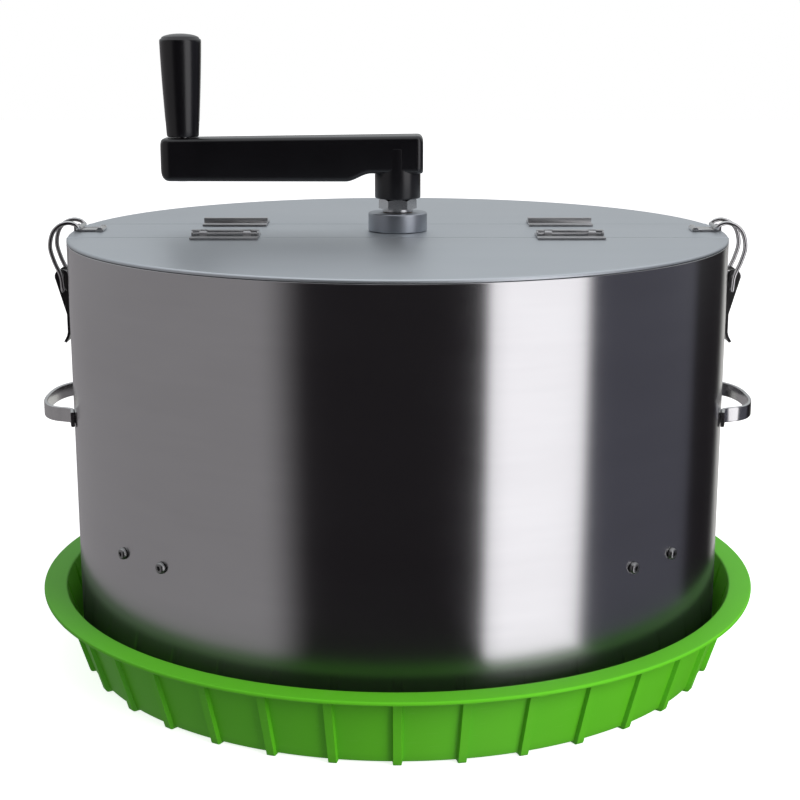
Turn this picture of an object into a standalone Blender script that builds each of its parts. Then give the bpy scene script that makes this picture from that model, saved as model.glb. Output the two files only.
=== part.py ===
"""Hand-cranked tabletop honey extractor standing in a ribbed drip tray.

Metres, +Z up. The origin is on the ground under the middle of the tray. The front is -Y,
the latches and handles are at -X and +X, and the crank arm points to -X at rest.
"""
import math

import bmesh
import bpy
from mathutils import Matrix, Vector

# ------------------------------------------------------------------ driving sizes
GAP = 0.0003                  # between pieces that touch

DRUM_RADIUS = 0.200
DRUM_HEIGHT = 0.238
DRUM_WALL = 0.0012
RIM_FLANGE = 0.0055           # from the wall's outside to the inner edge of the seal's ledge
SEAL_THICKNESS = 0.002

TRAY_HEIGHT = 0.0465
TRAY_FLOOR = 0.003
TRAY_WALL = 0.0022
TRAY_LEDGE = 0.020            # height of the step that the drum stands on
TRAY_CLEARANCE = 0.0012       # round the foot of the drum
TRAY_FLARE = 0.0080           # how far the wall leans out from the step to the mouth
TRAY_LIP = 0.0116
TRAY_LIP_THICKNESS = 0.0024
RIB_COUNT = 36
RIB_WIDTH = 0.0045
RIB_PROUD = 0.0025

LID_THICKNESS = 0.0020
BRIDGE_HALF_WIDTH = 0.034     # to the hinge line of each flap
FLAP_SEAM = 0.0005
BRIDGE_FOLD = 0.008           # depth of the folds that stiffen the bridge

HINGE_SPACING = 0.1025        # of each hinge from the middle
HINGE_LENGTH = 0.040
HINGE_LEAF = 0.010
HINGE_SHEET = 0.001
HINGE_AXIS_RISE = 0.0022      # above the lid
HINGE_PIN_RADIUS = 0.00095
HINGE_KNUCKLE_RADIUS = 0.0019
HINGE_KNUCKLE_WIDTH = 0.0044
HINGE_KNUCKLE_SPACING = 0.0130

HOUSING_RADIUS = 0.018
HOUSING_RISE = 0.0115
HOUSING_SPIGOT_RADIUS = 0.0114
SPINDLE_RADIUS = 0.006
SPINDLE_NECK_RADIUS = 0.005   # inside the crank's hub
BUSH_WALL = 0.0025
DRIVE_SQUARE = 0.010          # across the flats of the spindle's lower end
LOCK_NUT_RISE = 0.0079

CRANK_THROW = 0.1304          # from the shaft to the grip
CRANK_TOP = 0.0584            # above the lid
CRANK_DEPTH = 0.0276
CRANK_HUB_RADIUS = 0.014
CRANK_END_WIDTH = 0.022
CRANK_GRIP_OVERHANG = 0.0134
CRANK_HUB_OVERHANG = 0.0154
CRANK_FALL = 0.0020           # the arm's top is this much lower at the grip
GRIP_LENGTH = 0.0611
GRIP_FOOT_RADIUS = 0.0097
GRIP_HEAD_RADIUS = 0.0125
GRIP_PIN_RADIUS = 0.004

FRAME_HEIGHT = 0.095          # middle of the cross frame inside the drum
FRAME_DEPTH = 0.024
FRAME_ARM_THICKNESS = 0.005
FRAME_FLANGE_THICKNESS = 0.003
FRAME_FLANGE_ANGLE = math.radians(7.5)
FRAME_HUB_RADIUS = 0.025
BOLT_ANGLE = math.radians(5.0)    # of each bolt from the middle of its flange
BOLT_SHANK_RADIUS = 0.0019
BOLT_HEAD_RADIUS = 0.0034
BOLT_HEAD_RISE = 0.0023

AXLE_RADIUS = 0.008
AXLE_RISE = 0.055             # above the middle of the cross frame
CAGE_HALF_WIDTH = 0.1085      # to the middle of each screen
CAGE_LIFT = 0.0184            # of the hub above the middle of the cross frame
CAGE_HUB_RADIUS = 0.0165
CAGE_TOP_CLEARANCE = 0.0234   # from the hub's top to the top of the lid
CAGE_BAR_WIDTH = 0.010
CAGE_BAR_THICKNESS = 0.004
CAGE_POST_RADIUS = 0.004
CAGE_POCKET = 0.0325          # depth of the ledge that a comb frame stands on
SCREEN_THICKNESS = 0.003
SCREEN_BAR = 0.005
SCREEN_CELLS = (5, 3)

HANDLE_HEIGHT = 0.1535
HANDLE_SPAN = 0.080
HANDLE_REACH = 0.0203         # beyond the drum's wall
HANDLE_STRAP = 0.0022
HANDLE_STRAP_WIDTH = 0.009

LATCH_PIVOT_OUT = 0.0066      # of the lever's pivot from the wall
LATCH_PIVOT_DROP = 0.0275     # below the lid
LEVER_LENGTH = 0.0235
LEVER_TAIL = 0.018            # from there to the curled finger tab
LEVER_HALF_WIDTH = 0.0072
LEVER_SHEET = 0.0016
BAIL_PIVOT = (-0.001, -0.0085)    # outwards and up from the lever's pivot
BAIL_WIRE_RADIUS = 0.0013
BAIL_HALF_WIDTH = 0.010
KEEPER_IN = 0.020             # the keeper's plate runs from this far inside the lid's edge
KEEPER_SHEET = 0.0012

# ------------------------------------------------------------------ places that follow
DRUM_BASE = TRAY_LEDGE + GAP
RIM = DRUM_BASE + DRUM_HEIGHT
LID_BASE = RIM + GAP
LID_TOP = LID_BASE + LID_THICKNESS
DRUM_BORE = DRUM_RADIUS - DRUM_WALL

BOLT_HOLE_RADIUS = BOLT_SHANK_RADIUS + GAP
FRAME_REACH = DRUM_BORE - GAP
CAGE_FLOOR = FRAME_HEIGHT + CAGE_LIFT
CAGE_TOP = LID_TOP - CAGE_TOP_CLEARANCE
CAGE_CROWN = CAGE_TOP - 0.0035    # top face of the upper cage frame
DRIVE_DEPTH = 0.024
CRANK_HUB_FOOT = HOUSING_RISE + GAP + LOCK_NUT_RISE + GAP
GRIP_FOOT = CRANK_TOP - 0.8 * CRANK_FALL + GAP
GRIP_TOP = GRIP_FOOT + GRIP_LENGTH

X_AXIS = Vector((1, 0, 0))
Z_AXIS = Vector((0, 0, 1))


# ------------------------------------------------------------------ making objects
def clear_scene():
    for old in list(bpy.data.objects):
        bpy.data.objects.remove(old, do_unlink=True)


def look(name, colour, roughness, metallic):
    """A plain Principled material."""
    material = bpy.data.materials.new(name)
    material.use_nodes = True
    shader = material.node_tree.nodes["Principled BSDF"]
    shader.inputs["Base Color"].default_value = (*colour, 1.0)
    shader.inputs["Roughness"].default_value = roughness
    shader.inputs["Metallic"].default_value = metallic
    return material


def group(name, place, turn=0.0):
    """An empty that pieces are parented to, turned round the drum's axis with its place."""
    empty = bpy.data.objects.new(name, None)
    spin = Matrix.Rotation(turn, 4, "Z")
    empty.matrix_world = Matrix.Translation(spin @ Vector(place)) @ spin
    bpy.context.scene.collection.objects.link(empty)
    return empty


def finish(name, bm, material=None, parent=None, smooth=35.0):
    """Turn a bmesh into an object whose faces point outwards."""
    bmesh.ops.recalc_face_normals(bm, faces=bm.faces)
    mesh = bpy.data.meshes.new(name)
    bm.to_mesh(mesh)
    bm.free()
    mesh.shade_smooth()
    mesh.set_sharp_from_angle(angle=math.radians(smooth))
    thing = bpy.data.objects.new(name, mesh)
    bpy.context.scene.collection.objects.link(thing)
    if material:
        mesh.materials.append(material)
    thing.parent = parent
    return thing


def turned(outline_at, angles):
    """A closed surface round Z whose outline of (radius, height) may change with the angle.

    An outline that starts and ends on the axis makes a solid, any other is joined end to end.
    """
    bm = bmesh.new()
    columns = []
    poles = {}
    for angle in angles:
        column = []
        for radius, height in outline_at(angle):
            if radius == 0.0:
                if height not in poles:
                    poles[height] = bm.verts.new((0.0, 0.0, height))
                column.append(poles[height])
            else:
                point = (radius * math.cos(angle), radius * math.sin(angle), height)
                column.append(bm.verts.new(point))
        columns.append(column)
    on_axis = columns[0][0] in poles.values()
    count = len(columns[0])
    for left, right in zip(columns, columns[1:] + columns[:1]):
        for k in range(count - 1 if on_axis else count):
            after = (k + 1) % count
            corners = dict.fromkeys((left[k], right[k], right[after], left[after]))
            bm.faces.new(list(corners))
    return bm


def round_piece(outline, steps=32):
    angles = [2 * math.pi * k / steps for k in range(steps)]
    return turned(lambda angle: outline, angles)


def hexagon_radius(angle, across_corners):
    """Distance from the middle of a hexagon to its side, with a corner on +X."""
    from_side = (angle % math.radians(60)) - math.radians(30)
    return across_corners / 2 * math.cos(math.radians(30)) / math.cos(from_side)


def hex_nut(bore, corners, low, high, collar=0.0, collar_radius=0.0):
    """A nut with a round bore and a narrower round collar under the hexagon."""
    def outline(angle):
        side = hexagon_radius(angle, 2 * corners)
        points = [(bore, low), (side, low)]
        if collar:
            points = [(bore, low), (collar_radius, low), (collar_radius, low + collar),
                      (side, low + collar)]
        return points + [(side, high - 0.0006), (side - 0.0006, high), (bore, high)]
    return turned(outline, [math.radians(15 * k) for k in range(24)])


def block(low, high):
    bm = bmesh.new()
    size = [b - a for a, b in zip(low, high)]
    middle = [(a + b) / 2 for a, b in zip(low, high)]
    place = Matrix.Translation(middle) @ Matrix.Diagonal((*size, 1.0))
    bmesh.ops.create_cube(bm, size=1.0, matrix=place)
    return bm


def prism(outline, low, high, axis="z"):
    """A flat outline made solid between two heights.

    axis z takes (x, y) points, axis y takes (x, z) points and axis x takes (y, z) points.
    """
    place = {
        "z": lambda a, b, c: (a, b, c),
        "y": lambda a, b, c: (a, c, b),
        "x": lambda a, b, c: (c, a, b),
    }[axis]
    bm = bmesh.new()
    floor = [bm.verts.new(place(a, b, low)) for a, b in outline]
    face = bm.faces.new(floor)
    grown = bmesh.ops.extrude_face_region(bm, geom=[face])["geom"]
    moved = [item for item in grown if isinstance(item, bmesh.types.BMVert)]
    shift = Vector(place(0.0, 0.0, high - low))
    bmesh.ops.translate(bm, verts=moved, vec=shift)
    return bm


def rod(start, end, radius, sides=16):
    """A cylinder between two points."""
    start, end = Vector(start), Vector(end)
    along = end - start
    turn = along.to_track_quat("Z", "Y").to_matrix().to_4x4()
    place = Matrix.Translation((start + end) / 2) @ turn
    bm = bmesh.new()
    bmesh.ops.create_cone(bm, cap_ends=True, segments=sides, radius1=radius, radius2=radius,
                          depth=along.length, matrix=place)
    return bm


def together(pieces):
    """Several bmeshes that stand apart, as one."""
    whole = bmesh.new()
    for piece in pieces:
        spare = bpy.data.meshes.new("spare")
        piece.to_mesh(spare)
        piece.free()
        whole.from_mesh(spare)
        bpy.data.meshes.remove(spare)
    return whole


def combine(thing, operation, bm):
    """Add a Boolean modifier whose other shape is a hidden helper object."""
    helper = finish(f"{thing.name}.{operation.lower()}.{len(thing.modifiers)}", bm)
    helper.parent = thing.parent
    helper.hide_render = True
    helper.display_type = "WIRE"
    change = thing.modifiers.new(operation.title(), "BOOLEAN")
    change.operation = operation
    change.object = helper


def corner_arc(centre, radius, start, end, steps):
    """Points along an arc, with its angles in degrees."""
    points = []
    for k in range(steps + 1):
        angle = math.radians(start + (end - start) * k / steps)
        points.append((centre[0] + radius * math.cos(angle), centre[1] + radius * math.sin(angle)))
    return points


def arc_plate(inner, outer, half_angle, low, high, steps=6, middle=0.0):
    """A piece of a thin cylinder, standing on its edge."""
    start = math.degrees(middle - half_angle)
    end = math.degrees(middle + half_angle)
    outside = corner_arc((0, 0), outer, start, end, steps)
    inside = corner_arc((0, 0), inner, end, start, steps)
    return prism(outside + inside, low, high)


# ------------------------------------------------------------------ materials
def make_looks():
    return {
        "steel": look("brushed_steel", (0.62, 0.63, 0.65), 0.30, 1.0),
        "lid": look("satin_lid_steel", (0.60, 0.64, 0.68), 0.42, 0.9),
        "bright": look("bright_steel", (0.72, 0.72, 0.72), 0.22, 1.0),
        "dark": look("dark_steel", (0.20, 0.20, 0.20), 0.38, 1.0),
        "aluminium": look("cast_aluminium", (0.48, 0.51, 0.56), 0.45, 0.85),
        "black": look("black_plastic", (0.012, 0.012, 0.014), 0.32, 0.0),
        "green": look("green_plastic", (0.17, 0.62, 0.02), 0.42, 0.0),
        "rubber": look("black_rubber", (0.02, 0.02, 0.02), 0.75, 0.0),
        "bronze": look("bronze", (0.55, 0.36, 0.16), 0.35, 1.0),
    }


# ------------------------------------------------------------------ drip tray
def make_tray(looks):
    """A shallow dish with a step for the drum, a flared wall, a lip and ribs outside."""
    step = DRUM_RADIUS + TRAY_CLEARANCE
    slope = TRAY_FLARE / (TRAY_HEIGHT - TRAY_LEDGE)
    step_in = step - 0.0085
    mouth = step + TRAY_FLARE
    lip = mouth + TRAY_WALL + TRAY_LIP
    under_lip = TRAY_HEIGHT - TRAY_LIP_THICKNESS

    def wall(height):
        return step + TRAY_WALL + slope * (height - TRAY_LEDGE)

    def outline(proud, foot):
        return [
            (0.0, 0.0),
            (wall(foot) - 0.004, 0.0),
            (wall(foot) - foot + proud, 0.0 if proud else foot / 3),
            (wall(foot) + proud, foot),
            (wall(under_lip) + proud, under_lip),
            (lip - 0.0008, under_lip),
            (lip, under_lip + 0.0008),
            (lip, TRAY_HEIGHT - 0.0008),
            (lip - 0.0008, TRAY_HEIGHT),
            (mouth + 0.0012, TRAY_HEIGHT),
            (mouth, TRAY_HEIGHT - 0.0012),
            (step, TRAY_LEDGE),
            (step_in, TRAY_LEDGE),
            (step_in - 0.001, TRAY_FLOOR + 0.003),
            (step_in - 0.004, TRAY_FLOOR),
            (0.0, TRAY_FLOOR),
        ]

    half_rib = RIB_WIDTH / 2 / wall(under_lip / 2)
    side = 0.0004 / wall(under_lip / 2)
    outlines = {}
    for k in range(RIB_COUNT):
        middle = 2 * math.pi * k / RIB_COUNT - math.pi / 2
        outlines[middle - half_rib - side] = outline(0.0, 0.003)
        outlines[middle - half_rib] = outline(RIB_PROUD, 0.003)
        outlines[middle + half_rib] = outline(RIB_PROUD, 0.003)
        outlines[middle + half_rib + side] = outline(0.0, 0.003)
        outlines[middle + math.pi / RIB_COUNT] = outline(0.0, 0.003)
    finish("drip_tray", turned(lambda angle: outlines[angle], list(outlines)), looks["green"])


# ------------------------------------------------------------------ drum
def make_drum(looks):
    body = group("drum_group", (0, 0, DRUM_BASE))
    rim_bore = DRUM_RADIUS - RIM_FLANGE
    edge = DRUM_WALL / 3
    ledge = LID_BASE - 2 * GAP - SEAL_THICKNESS - DRUM_BASE
    shell = round_piece([
        (DRUM_BORE, 0.0),
        (DRUM_RADIUS, 0.0),
        (DRUM_RADIUS, DRUM_HEIGHT - edge),
        (DRUM_RADIUS - edge, DRUM_HEIGHT),
        (DRUM_BORE, DRUM_HEIGHT),
        (DRUM_BORE, ledge),
        (rim_bore, ledge),
        (rim_bore, ledge - DRUM_WALL),
        (DRUM_BORE, ledge - DRUM_WALL),
    ], 96)
    drum = finish("drum_shell", shell, looks["steel"], body)
    bolt_level = FRAME_HEIGHT - DRUM_BASE
    combine(drum, "DIFFERENCE", together([
        radial_rod(angle, bolt_level, DRUM_BORE - 0.004, DRUM_RADIUS + 0.004, BOLT_HOLE_RADIUS)
        for angle in bolt_angles()
    ]))
    seal_low = ledge + GAP
    seal = round_piece([
        (rim_bore + GAP, seal_low),
        (DRUM_BORE - GAP, seal_low),
        (DRUM_BORE - GAP, seal_low + SEAL_THICKNESS),
        (rim_bore + GAP, seal_low + SEAL_THICKNESS),
    ], 64)
    finish("rim_seal", seal, looks["rubber"], body)
    make_cross_frame(looks)
    for side, turn in (("right", 0.0), ("left", math.pi)):
        make_handle(looks, side, turn)
        make_latch_base(looks, side, turn)


def arm_angles():
    return [math.radians(45 + 90 * k) for k in range(4)]


def bolt_angles():
    return [middle + way * BOLT_ANGLE for middle in arm_angles() for way in (-1, 1)]


def radial_rod(angle, height, start, end, radius):
    out = Vector((math.cos(angle), math.sin(angle), 0.0))
    level = Z_AXIS * height
    return rod(out * start + level, out * end + level, radius, 12)


def make_cross_frame(looks):
    """Four bars from a hub to curved flanges that are bolted through the drum's wall."""
    half = FRAME_DEPTH / 2
    level = group("cross_frame_group", (0, 0, FRAME_HEIGHT))
    names = ("back_right", "back_left", "front_left", "front_right")
    for name, angle in zip(names, arm_angles()):
        spoke = group(f"frame_arm_group_{name}", (0, 0, FRAME_HEIGHT), angle)
        flange_in = FRAME_REACH - FRAME_FLANGE_THICKNESS
        bar = block((FRAME_HUB_RADIUS + 2 * GAP, -FRAME_ARM_THICKNESS / 2, -half),
                    (flange_in + FRAME_FLANGE_THICKNESS / 2, FRAME_ARM_THICKNESS / 2, half))
        arm = finish(f"frame_arm_{name}", bar, looks["bright"], spoke)
        flange = arc_plate(flange_in, FRAME_REACH, FRAME_FLANGE_ANGLE, 0.001 - half, half - 0.001)
        combine(arm, "UNION", flange)
        combine(arm, "DIFFERENCE", together([
            radial_rod(way * BOLT_ANGLE, 0.0, flange_in - 0.003, DRUM_RADIUS, BOLT_HOLE_RADIUS)
            for way in (-1, 1)
        ]))
        for way, hand in ((-1, "a"), (1, "b")):
            make_frame_bolt(looks, f"frame_bolt_{name}_{hand}", angle + way * BOLT_ANGLE)

    bore = AXLE_RADIUS + GAP
    hub = round_piece([(bore, -half), (FRAME_HUB_RADIUS, -half), (FRAME_HUB_RADIUS, half),
                       (bore, half)])
    finish("frame_hub", hub, looks["bright"], level)
    shoulder = half + GAP
    post = round_piece([
        (0.0, -half - 0.011),
        (AXLE_RADIUS - 0.001, -half - 0.011),
        (AXLE_RADIUS, -half - 0.010),
        (AXLE_RADIUS, shoulder),
        (AXLE_RADIUS + 0.0045, shoulder),
        (AXLE_RADIUS + 0.0045, shoulder + 0.003),
        (AXLE_RADIUS, shoulder + 0.003),
        (AXLE_RADIUS, AXLE_RISE - 0.003),
        (AXLE_RADIUS - 0.003, AXLE_RISE),
        (0.0, AXLE_RISE),
    ], 24)
    finish("axle_post", post, looks["bright"], level)
    finish("axle_nut", hex_nut(bore, 0.0135, -half - GAP - 0.008, -half - GAP),
           looks["bright"], level)


def make_frame_bolt(looks, name, angle):
    """A button-head bolt with its nut drawn up behind the flange, lying along a radius."""
    inside = FRAME_REACH - FRAME_FLANGE_THICKNESS - GAP
    outside = DRUM_RADIUS + GAP
    outline = [
        (0.0, inside - 0.006),
        (BOLT_SHANK_RADIUS, inside - 0.006),
        (BOLT_SHANK_RADIUS, inside - 0.004),
        (BOLT_HEAD_RADIUS, inside - 0.004),
        (BOLT_HEAD_RADIUS, inside),
        (BOLT_SHANK_RADIUS, inside),
        (BOLT_SHANK_RADIUS, outside),
        (BOLT_HEAD_RADIUS, outside),
        (BOLT_HEAD_RADIUS * 0.86, outside + BOLT_HEAD_RISE * 0.6),
        (BOLT_HEAD_RADIUS * 0.45, outside + BOLT_HEAD_RISE),
        (0.0, outside + BOLT_HEAD_RISE),
    ]
    bolt = finish(name, round_piece(outline, 10), looks["bright"])
    lay_down = Matrix.Rotation(math.pi / 2, 4, "Y")
    turn = Matrix.Rotation(angle, 4, "Z")
    bolt.matrix_world = Matrix.Translation((0, 0, FRAME_HEIGHT)) @ turn @ lay_down


def make_handle(looks, side, turn):
    """A strap bent to a D, with feet that lie against the drum."""
    body = group(f"handle_group_{side}", (0, 0, HANDLE_HEIGHT), turn)
    half = HANDLE_STRAP_WIDTH / 2
    spread = HANDLE_SPAN / 2
    root = math.sqrt(DRUM_RADIUS ** 2 - spread ** 2) + 2 * GAP
    reach = DRUM_RADIUS + HANDLE_REACH - root
    steps = 16
    outer, inner = [], []
    for k in range(steps + 1):
        angle = math.pi * (k / steps - 0.5)
        wide = math.copysign(abs(math.sin(angle)) ** 0.8, angle)
        deep = math.cos(angle) ** 0.8 if k not in (0, steps) else 0.0
        outer.append((root + reach * deep, spread * wide))
        inner.append((root + (reach - HANDLE_STRAP) * deep, (spread - HANDLE_STRAP) * wide))
    loop = prism(outer + inner[::-1], -half, half)
    handle = finish(f"handle_{side}", loop, looks["bright"], body)
    foot = math.asin(spread / DRUM_RADIUS)
    foot_half = math.radians(2.4)
    for way in (-1, 1):
        combine(handle, "UNION", arc_plate(
            DRUM_RADIUS + GAP, DRUM_RADIUS + GAP + HANDLE_STRAP, foot_half, 0.0003 - half,
            half - 0.0003, 4, way * (foot + foot_half - math.radians(0.9))))


def make_latch_base(looks, side, turn):
    """A plate on the drum's wall with two ears that hold the lever's pin."""
    body = group(f"latch_group_{side}", (0, 0, LID_TOP), turn)
    face = DRUM_RADIUS + GAP
    pivot = (DRUM_RADIUS + LATCH_PIVOT_OUT, -LATCH_PIVOT_DROP)
    plate = block((face, -LEVER_HALF_WIDTH - 0.001, pivot[1] - 0.038),
                  (face + 0.0015, LEVER_HALF_WIDTH + 0.001, pivot[1] + 0.009))
    base = finish(f"latch_base_{side}", plate, looks["bright"], body)
    ear_out = LEVER_HALF_WIDTH - LEVER_SHEET - 0.0004
    ear = corner_arc(pivot, 0.0029, -60, 60, 6)
    ear = [(face + 0.0008, pivot[1] - 0.0022)] + ear + [(face + 0.0008, pivot[1] + 0.0022)]
    combine(base, "UNION", together([
        prism(ear, way * ear_out, way * (ear_out - 0.0013), "y") for way in (-1, 1)
    ]))
    reach = LEVER_HALF_WIDTH + 0.0007
    combine(base, "UNION", rod((pivot[0], -reach, pivot[1]), (pivot[0], reach, pivot[1]), 0.0015, 12))


# ------------------------------------------------------------------ latches
def make_latch(looks, side, turn):
    """A toggle lever and the wire bail that it pulls down over the lid's keeper."""
    pivot = (DRUM_RADIUS + LATCH_PIVOT_OUT, 0, LID_TOP - LATCH_PIVOT_DROP)
    lever_group = group(f"lever_group_{side}", pivot, turn)
    tip = -LEVER_LENGTH
    tail = tip - LEVER_TAIL
    outline = corner_arc((0, 0), 0.0044, -25, 175, 12)
    outline += [(-0.0037, -0.004), (-0.0037, tail + 0.0062), (-0.0030, tail + 0.0036),
                (-0.0010, tail), (0.0004, tail + 0.0008), (-0.0015, tail + 0.0043),
                (-0.0021, tail + 0.0068), (-0.0021, tip)]
    lever = finish(f"latch_lever_{side}",
                   prism(outline, -LEVER_HALF_WIDTH, LEVER_HALF_WIDTH, "y"),
                   looks["dark"], lever_group)
    inside = LEVER_HALF_WIDTH - LEVER_SHEET
    hollow = [(0.006, 0.006), (-0.006, 0.006), (-0.006, tip + 0.0015), (-0.0034, tip + 0.0015),
              (0.0027, -0.0045), (0.0032, -0.0016), (0.006, -0.0016)]
    combine(lever, "DIFFERENCE", prism(hollow, -inside, inside, "y"))
    across = LEVER_HALF_WIDTH + 0.001
    combine(lever, "DIFFERENCE", together([
        rod((x, -across, z), (x, across, z), radius, 12)
        for x, z, radius in ((0, 0, 0.0015 + GAP), (*BAIL_PIVOT, BAIL_WIRE_RADIUS + GAP))
    ]))

    bail_place = (pivot[0] + BAIL_PIVOT[0], 0, pivot[2] + BAIL_PIVOT[1])
    bail_group = group(f"bail_group_{side}", bail_place, turn)
    curve = bpy.data.curves.new(f"latch_bail_{side}", "CURVE")
    curve.dimensions = "3D"
    curve.bevel_depth = BAIL_WIRE_RADIUS
    curve.bevel_resolution = 1
    curve.use_fill_caps = True
    points = bail_route(bail_place)
    spline = curve.splines.new("POLY")
    spline.points.add(len(points) - 1)
    for point, place in zip(spline.points, points):
        point.co = (*place, 1.0)
    curve.materials.append(looks["bright"])
    bail = bpy.data.objects.new(f"latch_bail_{side}", curve)
    bpy.context.scene.collection.objects.link(bail)
    bail.parent = bail_group


def bail_route(place):
    """The wire's middle line: in through one cheek, up round the lid's edge and back.

    The side is a smooth curve through a few points, which are measured from the wall
    outwards and from the lid upwards.
    """
    side = [
        (LATCH_PIVOT_OUT + BAIL_PIVOT[0], -LATCH_PIVOT_DROP + BAIL_PIVOT[1]),
        (0.0064, -0.0270),
        (0.0100, -0.0180),
        (0.0122, -0.0093),
        (0.0106, -0.0010),
        (0.0064, 0.0039),
        (0.0012, 0.0057),
        (-0.0030, 0.0050),
        (-0.0054, 0.0032),
    ]
    route = [Vector((DRUM_RADIUS + out - place[0], 0, LID_TOP + up - place[2])) for out, up in side]
    ends = [2 * route[0] - route[1]] + route + [2 * route[-1] - route[-2]]
    smooth = []
    for a, b, c, d in zip(ends, ends[1:], ends[2:], ends[3:]):
        for t in (0.0, 0.5):
            smooth.append(0.5 * (2 * b + t * (c - a) + t * t * (2 * a - 5 * b + 4 * c - d)
                                 + t ** 3 * (3 * b - a - 3 * c + d)))
    smooth.append(route[-1])
    bend = 0.0008
    wide = BAIL_HALF_WIDTH
    stub = LEVER_HALF_WIDTH - LEVER_SHEET + 0.0003
    near = [(0.0, stub, 0.0), (0.0, wide - 2 * bend, 0.0), (0.0, wide - bend / 2, bend / 2)]
    near += [(p.x, wide, p.z) for p in smooth[1:-1]]
    bar = smooth[-1]
    near += [(bar.x + bend / 2, wide - bend / 2, bar.z), (bar.x, wide - 2 * bend, bar.z)]
    return near + [(x, -y, z) for x, y, z in reversed(near)]


# ------------------------------------------------------------------ lid
def make_lid(looks):
    body = group("lid_group", (0, 0, LID_TOP))
    edge = BRIDGE_HALF_WIDTH - FLAP_SEAM / 2
    sweep = math.degrees(math.asin(edge / DRUM_RADIUS))
    outline = corner_arc((0, 0), DRUM_RADIUS, -sweep, sweep, 6)
    outline += corner_arc((0, 0), DRUM_RADIUS, 180 - sweep, 180 + sweep, 6)
    bridge = finish("lid_bridge", prism(outline, -LID_THICKNESS, 0.0), looks["lid"], body)
    reach = DRUM_RADIUS - RIM_FLANGE - 0.010
    folds = [
        block((-reach, way * (edge - 0.0045) - 0.00075, -LID_THICKNESS - BRIDGE_FOLD),
              (reach, way * (edge - 0.0045) + 0.00075, -LID_THICKNESS / 2))
        for way in (-1, 1)
    ]
    combine(bridge, "UNION", together(folds))
    hole = HOUSING_SPIGOT_RADIUS + GAP
    combine(bridge, "DIFFERENCE", rod((0, 0, -0.01), (0, 0, 0.01), hole, 32))

    make_bearing(looks, body)
    for side, turn in (("right", 0.0), ("left", math.pi)):
        make_keeper(looks, side, turn)
    for side, turn in (("back", 0.0), ("front", math.pi)):
        make_flap(looks, side, turn)


def make_bearing(looks, body):
    """The housing on the bridge, the nut that holds it from below and the bush in it."""
    bush_out = SPINDLE_RADIUS + GAP + BUSH_WALL
    bore = bush_out + GAP
    foot = -LID_THICKNESS - 0.009
    housing = round_piece([
        (bore, foot),
        (HOUSING_SPIGOT_RADIUS, foot),
        (HOUSING_SPIGOT_RADIUS, GAP),
        (HOUSING_RADIUS, GAP),
        (HOUSING_RADIUS, HOUSING_RISE - 0.0008),
        (HOUSING_RADIUS - 0.0008, HOUSING_RISE),
        (bore, HOUSING_RISE),
    ])
    finish("bearing_housing", housing, looks["aluminium"], body)
    nut_top = -LID_THICKNESS - GAP
    finish("housing_nut", hex_nut(HOUSING_SPIGOT_RADIUS + GAP, 0.017, nut_top - 0.006, nut_top),
           looks["aluminium"], body)
    bush_bore = SPINDLE_RADIUS + GAP
    bush = round_piece([(bush_bore, foot), (bush_out, foot), (bush_out, HOUSING_RISE),
                        (bush_bore, HOUSING_RISE)], 24)
    finish("spindle_bush", bush, looks["bronze"], body)


def make_keeper(looks, side, turn):
    """A plate on the lid whose turned-up edge keeps the bail's bar from slipping off."""
    body = group(f"keeper_group_{side}", (0, 0, LID_TOP), turn)
    inner = DRUM_RADIUS - KEEPER_IN
    outer = DRUM_RADIUS - 0.0022
    top = GAP + KEEPER_SHEET
    outline = [(inner, GAP), (outer, GAP), (outer, 0.0035), (outer - KEEPER_SHEET, 0.0035),
               (outer - KEEPER_SHEET, top), (inner + 0.004, top), (inner + 0.003, 0.0028),
               (inner + 0.001, 0.0028), (inner, top)]
    finish(f"keeper_{side}", prism(outline, -0.007, 0.007, "y"), looks["bright"], body)


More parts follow.
